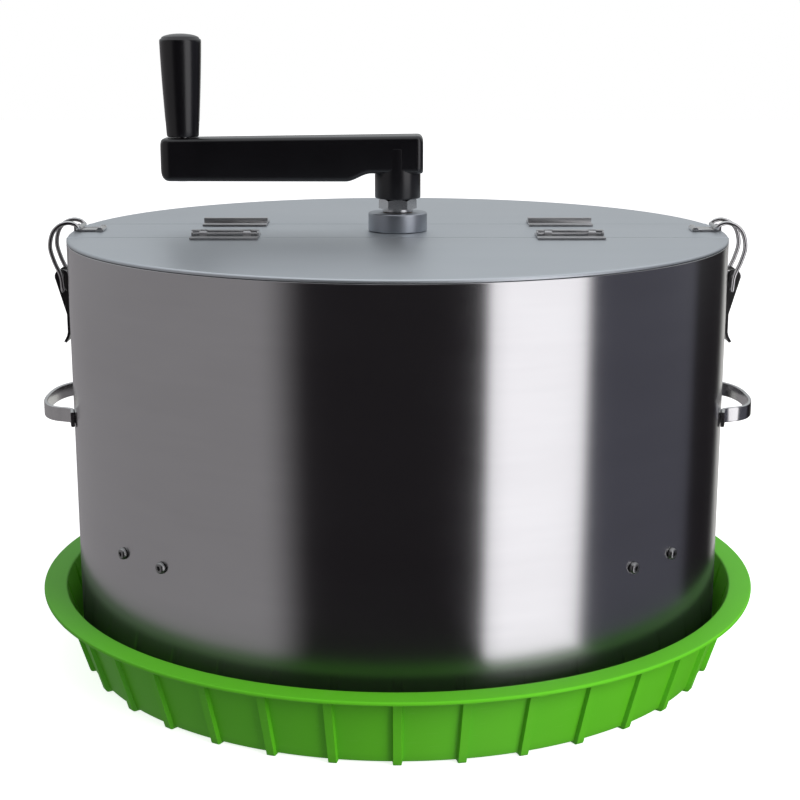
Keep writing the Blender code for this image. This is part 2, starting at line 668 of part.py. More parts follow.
def make_flap(looks, side, turn):
    """A half-moon flap and its two hinges; each hinge line is on the group's X axis."""
    axis_place = (0, BRIDGE_HALF_WIDTH, LID_TOP + HINGE_AXIS_RISE)
    moving = group(f"flap_group_{side}", axis_place, turn)
    lid_face = -HINGE_AXIS_RISE
    edge = BRIDGE_HALF_WIDTH + FLAP_SEAM / 2
    sweep = math.degrees(math.asin(edge / DRUM_RADIUS))
    outline = corner_arc((0, -BRIDGE_HALF_WIDTH), DRUM_RADIUS, sweep, 180 - sweep, 40)
    finish(f"flap_{side}", prism(outline, lid_face - LID_THICKNESS, lid_face), looks["lid"], moving)

    half = HINGE_LENGTH / 2
    low = lid_face + GAP
    knuckles = [way * HINGE_KNUCKLE_SPACING for way in (-1, 1)]
    across = HINGE_KNUCKLE_WIDTH / 2
    for hand, way in (("right", 1), ("left", -1)):
        if side == "front":
            hand = {"right": "left", "left": "right"}[hand]
        place = (way * HINGE_SPACING, BRIDGE_HALF_WIDTH, LID_TOP + HINGE_AXIS_RISE)
        fixed = group(f"hinge_group_{side}_{hand}", place, turn)
        leaf_in = HINGE_KNUCKLE_RADIUS + GAP
        leaf = finish(f"hinge_leaf_{side}_{hand}",
                      block((-half, leaf_in, low), (half, leaf_in + HINGE_LEAF, low + HINGE_SHEET)),
                      looks["bright"], fixed)
        knuckle = corner_arc((0, 0), HINGE_KNUCKLE_RADIUS, 0, 270, 9)
        knuckle += [(leaf_in + 0.001, low), (leaf_in + 0.001, low + HINGE_SHEET * 0.9),
                    (HINGE_KNUCKLE_RADIUS * 0.92, low + HINGE_SHEET * 0.9)]
        combine(leaf, "UNION", together([
            prism(knuckle, x - across, x + across, "x") for x in knuckles
        ]))
        combine(leaf, "DIFFERENCE", together([
            rod((x - half / 4, 0, 0), (x + half / 4, 0, 0), HINGE_PIN_RADIUS + GAP, 12)
            for x in knuckles
        ]))
        make_hinge_cover(looks, f"hinge_cover_{side}_{hand}", fixed, knuckles)


def make_hinge_cover(looks, name, body, knuckles):
    """The bridge's leaf: it steps up over the pin and has a notch for each knuckle."""
    half = HINGE_LENGTH / 2
    low = GAP - HINGE_AXIS_RISE
    lip_low = HINGE_PIN_RADIUS + GAP
    lip_high = lip_low + 0.0008
    web = -HINGE_KNUCKLE_RADIUS - 0.0016
    outline = [
        (web - HINGE_LEAF, low),
        (web, low),
        (web, lip_low),
        (0.0004, lip_low),
        (0.0004, lip_high),
        (web - HINGE_SHEET, lip_high),
        (web - HINGE_SHEET, low + HINGE_SHEET),
        (web - HINGE_LEAF, low + HINGE_SHEET),
    ]
    cover = finish(name, prism(outline, -half, half, "x"), looks["bright"], body)
    notch = HINGE_KNUCKLE_WIDTH / 2 + GAP
    combine(cover, "DIFFERENCE", together([
        block((x - notch, web + GAP, lip_low - GAP), (x + notch, 0.002, lip_high + GAP))
        for x in knuckles
    ]))
    cheek_radius = HINGE_KNUCKLE_RADIUS - 0.00005
    cheek = corner_arc((0, 0), cheek_radius, -90, 90, 8)
    cheek += [(web - HINGE_SHEET / 2, cheek_radius), (web - HINGE_SHEET / 2, -cheek_radius)]
    combine(cover, "UNION", together([
        prism(cheek, way * half, way * (half - HINGE_SHEET), "x") for way in (-1, 1)
    ]))
    inner = half - HINGE_SHEET / 2
    combine(cover, "UNION", rod((-inner, 0, 0), (inner, 0, 0), HINGE_PIN_RADIUS, 12))


# ------------------------------------------------------------------ crank
def make_crank(looks):
    body = group("crank_group", (0, 0, LID_TOP))
    foot = CAGE_TOP - DRIVE_DEPTH + 0.002 - LID_TOP
    collar = -LID_THICKNESS - 0.009 - 0.001
    shaft = round_piece([
        (0.0, foot + 0.004),
        (DRIVE_SQUARE / 2 - 0.0005, foot + 0.004),
        (DRIVE_SQUARE / 2 - 0.0005, CAGE_TOP - LID_TOP + 0.001),
        (SPINDLE_RADIUS, CAGE_TOP - LID_TOP + 0.001),
        (SPINDLE_RADIUS, collar - 0.004),
        (SPINDLE_RADIUS + 0.0025, collar - 0.004),
        (SPINDLE_RADIUS + 0.0025, collar),
        (SPINDLE_RADIUS, collar),
        (SPINDLE_RADIUS, CRANK_HUB_FOOT),
        (SPINDLE_NECK_RADIUS, CRANK_HUB_FOOT),
        (SPINDLE_NECK_RADIUS, CRANK_TOP - 0.0083),
        (SPINDLE_NECK_RADIUS - 0.001, CRANK_TOP - 0.0073),
        (0.0, CRANK_TOP - 0.0073),
    ], 24)
    spindle = finish("crank_spindle", shaft, looks["bright"], body)
    square = DRIVE_SQUARE / 2
    combine(spindle, "UNION", block((-square, -square, foot),
                                    (square, square, CAGE_TOP - LID_TOP + 0.0015)))

    nut_low = HOUSING_RISE + GAP
    finish("lock_nut", hex_nut(SPINDLE_RADIUS + GAP, 0.0116, nut_low, nut_low + LOCK_NUT_RISE,
                               0.0018, 0.0095), looks["bright"], body)

    arm = finish("crank_arm", prism(arm_plan(), CRANK_TOP - CRANK_DEPTH - 0.001, CRANK_TOP + 0.001),
                 looks["black"], body)
    combine(arm, "INTERSECT", prism(arm_side(), -0.03, 0.03, "y"))
    hub = round_piece([
        (0.0, CRANK_HUB_FOOT),
        (CRANK_HUB_RADIUS - 0.0008, CRANK_HUB_FOOT),
        (CRANK_HUB_RADIUS, CRANK_HUB_FOOT + 0.0008),
        (CRANK_HUB_RADIUS, CRANK_TOP - 0.006),
        (0.0, CRANK_TOP - 0.006),
    ], 32)
    combine(arm, "UNION", hub)
    neck_bore = SPINDLE_NECK_RADIUS + GAP
    pin_head = CRANK_TOP - CRANK_FALL - CRANK_DEPTH + 0.006
    combine(arm, "DIFFERENCE", together([
        rod((0, 0, CRANK_HUB_FOOT - 0.003), (0, 0, CRANK_TOP - 0.007), neck_bore, 24),
        counterbore(-CRANK_THROW, pin_head),
    ]))
    make_grip(looks, pin_head)


def counterbore(x, step):
    """A stepped cutter for the grip's pin and its head."""
    bm = round_piece([
        (0.0, 0.0), (0.0073, 0.0), (0.0073, step), (GRIP_PIN_RADIUS + GAP, step),
        (GRIP_PIN_RADIUS + GAP, CRANK_TOP + 0.01), (0.0, CRANK_TOP + 0.01),
    ], 24)
    bmesh.ops.translate(bm, verts=bm.verts, vec=X_AXIS * x)
    return bm


def arm_plan():
    """The arm from above: a little wider at the hub, with round corners."""
    left = -CRANK_THROW - CRANK_GRIP_OVERHANG
    right = CRANK_HUB_OVERHANG
    narrow, wide = CRANK_END_WIDTH / 2, CRANK_HUB_RADIUS
    soft, tight = 0.007, 0.004
    return (
        corner_arc((left + soft, soft - narrow), soft, 180, 270, 5)
        + corner_arc((right - tight, tight - wide), tight, -90, 0, 4)
        + corner_arc((right - tight, wide - tight), tight, 0, 90, 4)
        + corner_arc((left + soft, narrow - soft), soft, 90, 180, 5)
    )


def arm_side():
    """The arm from the front: flat below, stepped up to the hub, and round at its ends."""
    left = -CRANK_THROW - CRANK_GRIP_OVERHANG
    right = CRANK_HUB_OVERHANG
    low = CRANK_TOP - CRANK_DEPTH
    end_top = CRANK_TOP - CRANK_FALL
    return (
        corner_arc((left + 0.006, low + 0.006), 0.006, 180, 270, 4)
        + [(-0.030, low), (-0.022, low + 0.0032), (-0.016, low + 0.0049), (right - 0.001, low + 0.0049)]
        + [(right, low + 0.0059)]
        + corner_arc((right - 0.003, CRANK_TOP - 0.003), 0.003, 0, 90, 3)
        + corner_arc((left + 0.003, end_top - 0.003), 0.003, 90, 180, 3)
    )


def make_grip(looks, pin_head):
    """The pin, whose head is sunk in the arm, and the sleeve that turns on it."""
    body = group("grip_group", (-CRANK_THROW, 0, LID_TOP))
    pin_top = GRIP_TOP - 0.012
    pin = round_piece([
        (0.0, pin_head - 0.0035),
        (0.007, pin_head - 0.0035),
        (0.007, pin_head - GAP),
        (GRIP_PIN_RADIUS, pin_head - GAP),
        (GRIP_PIN_RADIUS, pin_top - 0.001),
        (GRIP_PIN_RADIUS - 0.001, pin_top),
        (0.0, pin_top),
    ], 24)
    finish("grip_pin", pin, looks["bright"], body)
    bore = GRIP_PIN_RADIUS + GAP
    swell = GRIP_HEAD_RADIUS - GRIP_FOOT_RADIUS
    sleeve = round_piece([
        (0.0, pin_top + 0.001),
        (bore, pin_top + 0.001),
        (bore, GRIP_FOOT),
        (GRIP_FOOT_RADIUS - 0.0008, GRIP_FOOT),
        (GRIP_FOOT_RADIUS, GRIP_FOOT + 0.0008),
        (GRIP_FOOT_RADIUS + swell * 0.45, GRIP_FOOT + GRIP_LENGTH * 0.40),
        (GRIP_FOOT_RADIUS + swell * 0.85, GRIP_FOOT + GRIP_LENGTH * 0.72),
        (GRIP_HEAD_RADIUS, GRIP_TOP - 0.006),
        (GRIP_HEAD_RADIUS, GRIP_TOP - 0.0035),
        (GRIP_HEAD_RADIUS - 0.0008, GRIP_TOP - 0.0026),
        (GRIP_HEAD_RADIUS * 0.6, GRIP_TOP - 0.0008),
        (0.0, GRIP_TOP),
    ], 24)
    finish("grip_sleeve", sleeve, looks["black"], body)


# ------------------------------------------------------------------ cage
def make_cage(looks):
    """The basket that spins on the axle post and is driven by the crank's square end."""
    body = group("cage_group", (0, 0, 0))
    bush_bore = AXLE_RADIUS + GAP
    bush_out = bush_bore + BUSH_WALL + 0.0005
    floor = CAGE_FLOOR
    bush_top = FRAME_HEIGHT + AXLE_RISE - 0.005
    flange_low = FRAME_HEIGHT + FRAME_DEPTH / 2 + GAP + 0.003 + GAP
    bush = round_piece([
        (bush_bore, flange_low),
        (bush_out + 0.0035, flange_low),
        (bush_out + 0.0035, floor - GAP),
        (bush_out, floor - GAP),
        (bush_out, bush_top),
        (bush_bore, bush_top),
    ], 24)
    finish("cage_bush", bush, looks["bronze"], body)

    wide, narrow = bush_out + GAP, AXLE_RADIUS + 0.0015
    socket_floor = CAGE_TOP - DRIVE_DEPTH
    hub = round_piece([
        (0.0, socket_floor),
        (narrow, socket_floor),
        (narrow, bush_top + GAP),
        (wide, bush_top + GAP),
        (wide, floor),
        (CAGE_HUB_RADIUS, floor),
        (CAGE_HUB_RADIUS, CAGE_TOP),
        (0.0, CAGE_TOP),
    ])
    cage_hub = finish("cage_hub", hub, looks["bright"], body)
    half_socket = DRIVE_SQUARE / 2 + GAP
    combine(cage_hub, "DIFFERENCE", block((-half_socket, -half_socket, socket_floor - 0.001),
                                          (half_socket, half_socket, CAGE_TOP + 0.001)))

    low_frame = CAGE_FLOOR + 0.0006
    high_frame = CAGE_CROWN - CAGE_BAR_THICKNESS
    ledge = CAGE_HALF_WIDTH - SCREEN_THICKNESS / 2 - CAGE_POCKET
    make_cage_frame(looks, "cage_bottom", body, low_frame, ledge)
    make_cage_frame(looks, "cage_top", body, high_frame, CAGE_HALF_WIDTH - CAGE_BAR_WIDTH / 2)
    post_low = low_frame + CAGE_BAR_THICKNESS + GAP
    post_high = high_frame - GAP
    screen_half = CAGE_HALF_WIDTH - CAGE_POST_RADIUS - GAP
    sides = (("right", 0), ("back", 1), ("left", 2), ("front", 3))
    for name, quarter in sides:
        turn = math.pi / 2 * quarter
        panel = group(f"screen_group_{name}", (0, 0, 0), turn)
        screen = grille(screen_half, post_low, post_high)
        bmesh.ops.translate(screen, verts=screen.verts, vec=X_AXIS * CAGE_HALF_WIDTH)
        finish(f"cage_screen_{name}", screen, looks["steel"], panel)
        corner = (CAGE_HALF_WIDTH, CAGE_HALF_WIDTH)
        post = rod((*corner, post_low), (*corner, post_high), CAGE_POST_RADIUS, 12)
        finish(f"cage_post_{name}", post, looks["bright"], panel)


def make_cage_frame(looks, name, body, low, inner):
    """A square of flat bars with two diagonals and a collar round the hub."""
    high = low + CAGE_BAR_THICKNESS
    outer = CAGE_HALF_WIDTH + CAGE_BAR_WIDTH / 2
    frame = finish(name, block((-outer, -outer, low), (outer, outer, high)), looks["bright"], body)
    combine(frame, "DIFFERENCE", block((-inner, -inner, low - 0.001), (inner, inner, high + 0.001)))
    inset = 0.0004
    for turn in (45, -45):
        bar = block((-CAGE_HALF_WIDTH * 1.38, -CAGE_BAR_WIDTH / 2, low + inset),
                    (CAGE_HALF_WIDTH * 1.38, CAGE_BAR_WIDTH / 2, high - inset))
        bmesh.ops.rotate(bar, verts=bar.verts, matrix=Matrix.Rotation(math.radians(turn), 3, "Z"))
        combine(frame, "UNION", bar)
    collar = CAGE_HUB_RADIUS + 0.010
    combine(frame, "UNION", rod((0, 0, low), (0, 0, high), collar, 32))
    combine(frame, "DIFFERENCE", rod((0, 0, low - 0.001), (0, 0, high + 0.001),
                                     CAGE_HUB_RADIUS + GAP, 32))


def grille(half_width, low, high):
    """A flat panel across X with square openings between equal bars."""
    across, up = SCREEN_CELLS
    half = SCREEN_THICKNESS / 2

    def lines(start, end, cells):
        hole = (end - start - SCREEN_BAR * (cells + 1)) / cells
        places = [start]
        for k in range(2 * cells + 1):
            places.append(places[-1] + (hole if k % 2 else SCREEN_BAR))
        return places

    columns = lines(-half_width, half_width, across)
    rows = lines(low, high, up)
    bm = bmesh.new()
    grid = [[[bm.verts.new((x, y, z)) for z in rows] for y in columns] for x in (-half, half)]

    def solid(i, j):
        inside = 0 <= i < len(columns) - 1 and 0 <= j < len(rows) - 1
        return inside and not (i % 2 and j % 2)

    for i in range(len(columns) - 1):
        for j in range(len(rows) - 1):
            if not solid(i, j):
                continue
            ring = [(i, j), (i + 1, j), (i + 1, j + 1), (i, j + 1)]
            for layer in grid:
                bm.faces.new([layer[a][b] for a, b in ring])
            neighbours = [(i, j - 1), (i + 1, j), (i, j + 1), (i - 1, j)]
            for (a, b), (c, d), (p, q) in zip(ring, ring[1:] + ring[:1], neighbours):
                if not solid(p, q):
                    bm.faces.new([grid[0][a][b], grid[0][c][d], grid[1][c][d], grid[1][a][b]])
    return bm


# ------------------------------------------------------------------ the whole machine
def main():
    clear_scene()
    looks = make_looks()
    make_tray(looks)
    make_drum(looks)
    make_lid(looks)
    make_crank(looks)
    make_cage(looks)
    for side, turn in (("right", 0.0), ("left", math.pi)):
        make_latch(looks, side, turn)


main()
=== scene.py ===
"""The finish of a tabletop honey extractor that stands in a green drip tray.

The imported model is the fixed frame. Pieces that show are made again here as smooth surfaces in
the same places, small fittings are copied and get soft edges, and everything gets its material.
"""

import math

import bmesh
import bpy
import numpy as np
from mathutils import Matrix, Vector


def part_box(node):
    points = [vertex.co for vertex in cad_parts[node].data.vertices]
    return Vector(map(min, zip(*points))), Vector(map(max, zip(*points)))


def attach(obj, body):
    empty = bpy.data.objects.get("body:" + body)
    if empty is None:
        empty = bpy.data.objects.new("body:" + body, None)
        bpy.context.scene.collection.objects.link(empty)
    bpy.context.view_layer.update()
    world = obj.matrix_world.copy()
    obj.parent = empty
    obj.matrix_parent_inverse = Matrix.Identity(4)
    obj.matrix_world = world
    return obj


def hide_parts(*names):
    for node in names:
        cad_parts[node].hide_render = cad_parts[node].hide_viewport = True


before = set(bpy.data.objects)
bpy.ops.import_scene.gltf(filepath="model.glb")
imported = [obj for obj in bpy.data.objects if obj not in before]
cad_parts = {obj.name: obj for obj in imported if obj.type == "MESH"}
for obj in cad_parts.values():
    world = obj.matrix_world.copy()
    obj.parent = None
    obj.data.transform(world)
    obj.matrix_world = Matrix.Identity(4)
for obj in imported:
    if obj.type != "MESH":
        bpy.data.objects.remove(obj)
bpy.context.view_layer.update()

TURN = 2 * math.pi


# ------------------------------------------------------------------ making meshes
def finish_mesh(name, points, faces, sharp):
    """A mesh object from points and faces, with doubles merged and its faces turned outwards."""
    mesh = bpy.data.meshes.new(name)
    mesh.from_pydata(points.tolist(), [], faces)
    bm = bmesh.new()
    bm.from_mesh(mesh)
    bmesh.ops.remove_doubles(bm, verts=bm.verts, dist=1e-7)
    bmesh.ops.recalc_face_normals(bm, faces=bm.faces)
    bm.to_mesh(mesh)
    bm.free()
    mesh.shade_smooth()
    mesh.set_sharp_from_angle(angle=math.radians(sharp))
    thing = bpy.data.objects.new(name, mesh)
    bpy.context.scene.collection.objects.link(thing)
    return thing


def skin_faces(rings, around, first, ends):
    """Quads between neighbouring rings; the ends are left open, capped, or joined to each other."""
    last = rings if ends == "loop" else rings - 1
    row, column = np.meshgrid(np.arange(last), np.arange(around), indexing="ij")
    after = (row + 1) % rings * around
    beside = (column + 1) % around
    quads = np.stack([row * around + column, row * around + beside, after + beside,
                      after + column], -1)
    faces = (quads.reshape(-1, 4) + first).tolist()
    if ends == "cap":
        faces.append(list(range(first + around - 1, first - 1, -1)))
        top = first + (rings - 1) * around
        faces.append(list(range(top, top + around)))
    return faces


def skin(name, rings, ends="cap", sharp=40):
    """A closed surface through an array of rings of points, or through several such arrays."""
    shells = rings if isinstance(rings, list) else [rings]
    points, faces, first = [], [], 0
    for shell in shells:
        faces += skin_faces(shell.shape[0], shell.shape[1], first, ends)
        points.append(shell.reshape(-1, 3))
        first += shell.shape[0] * shell.shape[1]
    return finish_mesh(name, np.concatenate(points), faces, sharp)


def fillet(corners, radius, steps=4, closed=True):
    """An outline with round corners.

    Corner B becomes the curve (1-s)^2 P + 2s(1-s) B + s^2 Q, where P and Q lie on its two sides,
    a radius away from B but never past 0.48 of a side.
    """
    corner = np.array(corners, float)
    reach = np.broadcast_to(radius, len(corner)).astype(float)
    before, behind = np.roll(corner, 1, 0) - corner, np.roll(corner, -1, 0) - corner
    length = np.stack([np.linalg.norm(before, axis=1), np.linalg.norm(behind, axis=1)])
    reach = np.minimum(reach, 0.48 * length.min(0))
    if not closed:
        reach[[0, -1]] = 0
    p = corner + before * (reach / length[0])[:, None]
    q = corner + behind * (reach / length[1])[:, None]
    s = np.linspace(0, 1, steps + 1)[None, :, None]
    curve = (1 - s) ** 2 * p[:, None] + 2 * s * (1 - s) * corner[:, None] + s ** 2 * q[:, None]
    flat = curve.reshape(-1, corner.shape[1])
    step = np.linalg.norm(flat - np.roll(flat, 1, 0), axis=1)
    keep = step > 1e-7
    if not closed:
        keep[0] = True
    return flat[keep]


def lathe(outline, steps=128, centre=(0, 0), swell=None):
    """Rings of (r cos a, r sin a, z) for an outline of (r, z); swell(a) is added where r > 0."""
    angle = np.linspace(0, TURN, steps, endpoint=False)
    radius, height = np.array(outline, float).T
    radius = radius[:, None] + np.zeros(steps)
    if swell is not None:
        radius = np.where(radius > 1e-9, radius + swell(angle), 0)
    return np.stack([
        centre[0] + radius * np.cos(angle),
        centre[1] + radius * np.sin(angle),
        height[:, None] + np.zeros(steps),
    ], -1)


def turned(name, outline, radius=0.0004, steps=128, centre=(0, 0), sharp=40, swell=None, solid=False):
    """A turned piece with soft corners; a solid one starts and ends on its axis."""
    rings = lathe(fillet(outline, radius, closed=not solid), steps, centre, swell)
    return skin(name, rings, "open" if solid else "loop", sharp)


def inset(outline, depth):
    """A closed outline moved inwards, along the normal of each point."""
    along = np.roll(outline, -1, 0) - np.roll(outline, 1, 0)
    along /= np.linalg.norm(along, axis=1)[:, None]
    inwards = np.stack([-along[:, 1], along[:, 0]], -1)
    return outline + inwards * depth


def plate(outline, low, high, under, over, share=1.0, steps=5):
    """Rings of a flat sheet whose rim is rounded by a quarter ring at each face.

    At angle t the rim is edge (1 - sin t) inside the outline and edge (1 - cos t) from the face,
    with one edge size below and one above; share scales the inset at each point of the outline.
    """
    t = np.linspace(0, math.pi / 2, steps + 1)
    depths = np.concatenate([under * (1 - np.sin(t)), over * (1 - np.sin(t[::-1]))])
    heights = np.concatenate([low + under * (1 - np.cos(t)), high - over * (1 - np.cos(t[::-1]))])
    flat = np.stack([inset(outline, depth * np.reshape(share, (-1, 1))) for depth in depths])
    return np.concatenate([flat, np.broadcast_to(heights[:, None, None], flat.shape[:2] + (1,))], -1)


def wire(path, radius, sides=16, lean=(0.35, 0.25, 0.9)):
    """A round wire: circles across the path, drawn with two directions square to it."""
    path = np.array(path, float)
    along = np.gradient(path, axis=0)
    along /= np.linalg.norm(along, axis=1)[:, None]
    side = np.cross(along, lean)
    side /= np.linalg.norm(side, axis=1)[:, None]
    up = np.cross(along, side)
    angle = np.linspace(0, TURN, sides, endpoint=False)[None, :, None]
    return path[:, None] + radius * (np.cos(angle) * side[:, None] + np.sin(angle) * up[:, None])


def smooth_path(points, steps=8):
    """A Catmull-Rom curve through points: a cubic between each pair, level at the ends."""
    p = np.array(points, float)
    p = np.concatenate([2 * p[:1] - p[1:2], p, 2 * p[-1:] - p[-2:-1]])
    a, b, c, d = (p[k:len(p) - 3 + k, None] for k in range(4))
    t = np.linspace(0, 1, steps, endpoint=False)[None, :, None]
    curve = 0.5 * (2 * b + t * (c - a) + t ** 2 * (2 * a - 5 * b + 4 * c - d)
                   + t ** 3 * (3 * b - a - 3 * c + d))
    return np.concatenate([curve.reshape(-1, p.shape[1]), p[-2:-1]])


def half_turn(rings):
    """The same rings on the other side of the machine: x and y change sign."""
    return rings * np.array([-1.0, -1.0, 1.0])


def soft_copy(node, width, segments=2):
    """A CAD fitting copied with its doubles merged and its edges rounded by a bevel."""
    bm = bmesh.new()
    bm.from_mesh(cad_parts[node].data)
    bmesh.ops.remove_doubles(bm, verts=bm.verts, dist=2e-6)
    bmesh.ops.dissolve_limit(bm, angle_limit=math.radians(2), verts=bm.verts, edges=bm.edges)
    mesh = bpy.data.meshes.new(f"{node}_soft")
    bm.to_mesh(mesh)
    bm.free()
    mesh.shade_smooth()
    thing = bpy.data.objects.new(f"{node}_soft", mesh)
    bpy.context.scene.collection.objects.link(thing)
    bevel = thing.modifiers.new("Soft edges", "BEVEL")
    bevel.width = width
    bevel.segments = segments
    bevel.limit_method = "ANGLE"
    bevel.angle_limit = math.radians(38)
    bevel.harden_normals = False
    mesh.set_sharp_from_angle(angle=math.radians(50))
    return thing


# ------------------------------------------------------------------ making materials
class Value:
    """A number in a material's node tree; arithmetic on it adds Math nodes."""

    def __init__(self, tree, socket):
        self.tree = tree
        self.socket = socket

    def math(self, operation, *others, flip=False):
        node = self.tree.nodes.new("ShaderNodeMath")
        node.operation = operation
        terms = (*others, self) if flip else (self, *others)
        for slot, term in zip(node.inputs, terms):
            if isinstance(term, Value):
                self.tree.links.new(term.socket, slot)
            else:
                slot.default_value = term
        return Value(self.tree, node.outputs[0])

    def __add__(self, other):
        return self.math("ADD", other)

    __radd__ = __add__

    def __sub__(self, other):
        return self.math("SUBTRACT", other)

    def __rsub__(self, other):
        return self.math("SUBTRACT", other, flip=True)

    def __mul__(self, other):
        return self.math("MULTIPLY", other)

    __rmul__ = __mul__

    def __truediv__(self, other):
        return self.math("DIVIDE", other)

    def __pow__(self, other):
        return self.math("POWER", other)


class Look:
    """A Principled material, or the world's background, with a short way to add nodes."""

    def __init__(self, name, world=False):
        self.block = bpy.data.worlds.new(name) if world else bpy.data.materials.new(name)
        self.block.use_nodes = True
        self.tree = self.block.node_tree
        wanted = "Background" if world else "Principled BSDF"
        self.shader = self.tree.nodes[wanted]

    def node(self, kind, output=0, settings=None, **sockets):
        """Adds a node of a type, sets its settings, then the values or links of its sockets."""
        node = self.tree.nodes.new(kind)
        for key, value in (settings or {}).items():
            setattr(node, key, value)
        for key, value in sockets.items():
            self.put(node.inputs[key.replace("_", " ")], value)
        return Value(self.tree, node.outputs[output])

    def put(self, socket, value):
        if isinstance(value, Value):
            self.tree.links.new(value.socket, socket)
        else:
            socket.default_value = value

    def set(self, **sockets):
        for key, value in sockets.items():
            self.put(self.shader.inputs[key.replace("_", " ")], value)
        return self

    def place(self, stretch=(1, 1, 1)):
        """Object coordinates, stretched along the axes."""
        where = self.node("ShaderNodeTexCoord", "Object")
        return self.node("ShaderNodeMapping", settings={"vector_type": "POINT"}, Vector=where,
                         Scale=stretch)

    def parts(self):
        """The x, y and z of Object coordinates, as three numbers."""
        split = self.node("ShaderNodeSeparateXYZ", Vector=self.node("ShaderNodeTexCoord", "Object"))
        return [Value(self.tree, split.socket.node.outputs[k]) for k in range(3)]

    def noise(self, where, scale, detail=3.0, roughness=0.55):
        return self.node("ShaderNodeTexNoise", 0, Vector=where, Scale=scale, Detail=detail,
                         Roughness=roughness)

    def blend(self, factor, first, second):
        """A colour between two colours."""
        node = self.tree.nodes.new("ShaderNodeMix")
        node.data_type = "RGBA"
        self.put(node.inputs[0], factor)
        self.put(node.inputs[6], first)
        self.put(node.inputs[7], second)
        return Value(self.tree, node.outputs[2])

    def ease(self, value, low, high):
        """0 below low, 1 above high, and a smooth step between."""
        return self.node("ShaderNodeMapRange", settings={"interpolation_type": "SMOOTHSTEP"},
                         Value=value, From_Min=low, From_Max=high)

    def bump(self, height, distance, strength=1.0):
        return self.node("ShaderNodeBump", Height=height, Distance=distance, Strength=strength)


def colour(red, green, blue):
    return (red, green, blue, 1.0)


def round_grain(look, fine, along):
    """Noise in fine threads round Z: it reads the angle round the axis, the height and the radius."""
    x, y, z = look.parts()
    angle = y.math("ARCTAN2", x)
    radius = (x * x + y * y) ** 0.5
    wrap = angle.math("SINE") * along
    wrap_too = angle.math("COSINE") * along
    where = look.node("ShaderNodeCombineXYZ", X=wrap, Y=wrap_too, Z=(z + radius) * fine)
    return look.noise(where, 1.0, 4.0, 0.6)


def drum_steel():
    """Stainless sheet, brushed round the drum: fine level threads, long soft smears, one weld."""
    look = Look("drum_steel")
    x, y = look.parts()[:2]
    threads = round_grain(look, 2600.0, 5.0)
    bands = round_grain(look, 240.0, 2.2)
    smears = look.noise(look.place((1, 1, 3.4)), 7.0, 3.0, 0.6)
    seam_distance = (x * 900.0).math("ABSOLUTE")
    seam = look.ease(y, 0.1, 0.12) * (1 - look.ease(seam_distance, 0.5, 1.6))
    base = look.blend(smears, colour(0.60, 0.595, 0.60), colour(0.70, 0.70, 0.705))
    base = look.blend(bands * 0.25, base, colour(0.52, 0.52, 0.54))
    base = look.blend(seam * 0.45, base, colour(0.42, 0.40, 0.39))
    look.set(
        Base_Color=base,
        Metallic=1.0,
        Roughness=0.16 + 0.05 * threads + 0.04 * smears + 0.10 * seam,
        Anisotropic=0.9,
        Anisotropic_Rotation=0.25,
        Normal=look.bump(threads * 0.5 + bands * 0.4 + seam * 3.0, 0.00004, 0.22),
    )
    return look.block


def lid_steel():
    """Satin stainless sheet with its grain across the lid, faint rubs and dulled spots."""
    look = Look("lid_steel")
    grain = look.noise(look.place((18, 2200, 400)), 1.0, 4.0, 0.6)
    broad = look.noise(look.place((3, 60, 60)), 1.0, 3.0, 0.5)
    cloud = look.noise(look.place(), 9.0, 3.0, 0.55)
    scratch = look.noise(look.place((4, 900, 900)), 1.0, 2.0, 0.7)
    rubs = look.ease(scratch, 0.66, 0.74)
    base = look.blend(cloud, colour(0.585, 0.625, 0.665), colour(0.655, 0.69, 0.72))
    base = look.blend(broad * 0.3, base, colour(0.54, 0.58, 0.62))
    look.set(
        Base_Color=base,
        Metallic=0.92,
        Roughness=0.36 + 0.07 * grain + 0.05 * cloud - 0.05 * rubs,
        Normal=look.bump(grain + 0.5 * broad + 0.6 * rubs, 0.00006, 0.3),
    )
    return look.block


def plain_metal(name, dark, light, rough, fine=900.0):
    """Plated or polished steel: small tumbling marks and patches that vary in tone and dullness."""
    look = Look(name)
    patches = look.noise(look.place(), 70.0, 3.0, 0.6)
    marks = look.noise(look.place(), fine, 2.0, 0.6)
    look.set(
        Base_Color=look.blend(patches, colour(*dark), colour(*light)),
        Metallic=1.0,
        Roughness=rough + 0.10 * patches + 0.05 * marks,
        Normal=look.bump(marks + patches, 0.00003, 0.4),
    )
    return look.block


def turned_metal(name, dark, light, rough):
    """A turned piece: closed tool rings round Z, set off by a slow change in tone."""
    look = Look(name)
    rings = round_grain(look, 1900.0, 0.6)
    patches = look.noise(look.place(), 45.0, 3.0, 0.5)
    look.set(
        Base_Color=look.blend(patches * 0.6 + rings * 0.4, colour(*dark), colour(*light)),
        Metallic=1.0,
        Roughness=rough + 0.14 * rings + 0.08 * patches,
        Normal=look.bump(rings, 0.00005, 0.5),
    )
    return look.block


def black_plastic():
    """Moulded black plastic: a fine spark finish, rubbed smoother by hands in places, some dust."""
    look = Look("black_moulding")
    spark = look.noise(look.place(), 2300.0, 2.0, 0.6)
    worn = look.noise(look.place(), 28.0, 3.0, 0.6)
    dust = look.ease(look.noise(look.place(), 520.0, 3.0, 0.7), 0.62, 0.75)
    base = look.blend(worn, colour(0.0022, 0.0020, 0.0026), colour(0.0040, 0.0036, 0.0048))
    base = look.blend(dust * 0.25, base, colour(0.012, 0.0115, 0.013))
    look.set(
        Base_Color=base,
        Roughness=0.26 + 0.10 * worn + 0.08 * dust,
        Specular_IOR_Level=0.5,
        Coat_Weight=0.35 + 0.2 * worn,
        Coat_Roughness=0.2,
        Normal=look.bump(spark, 0.00004, 0.35),
    )
    return look.block


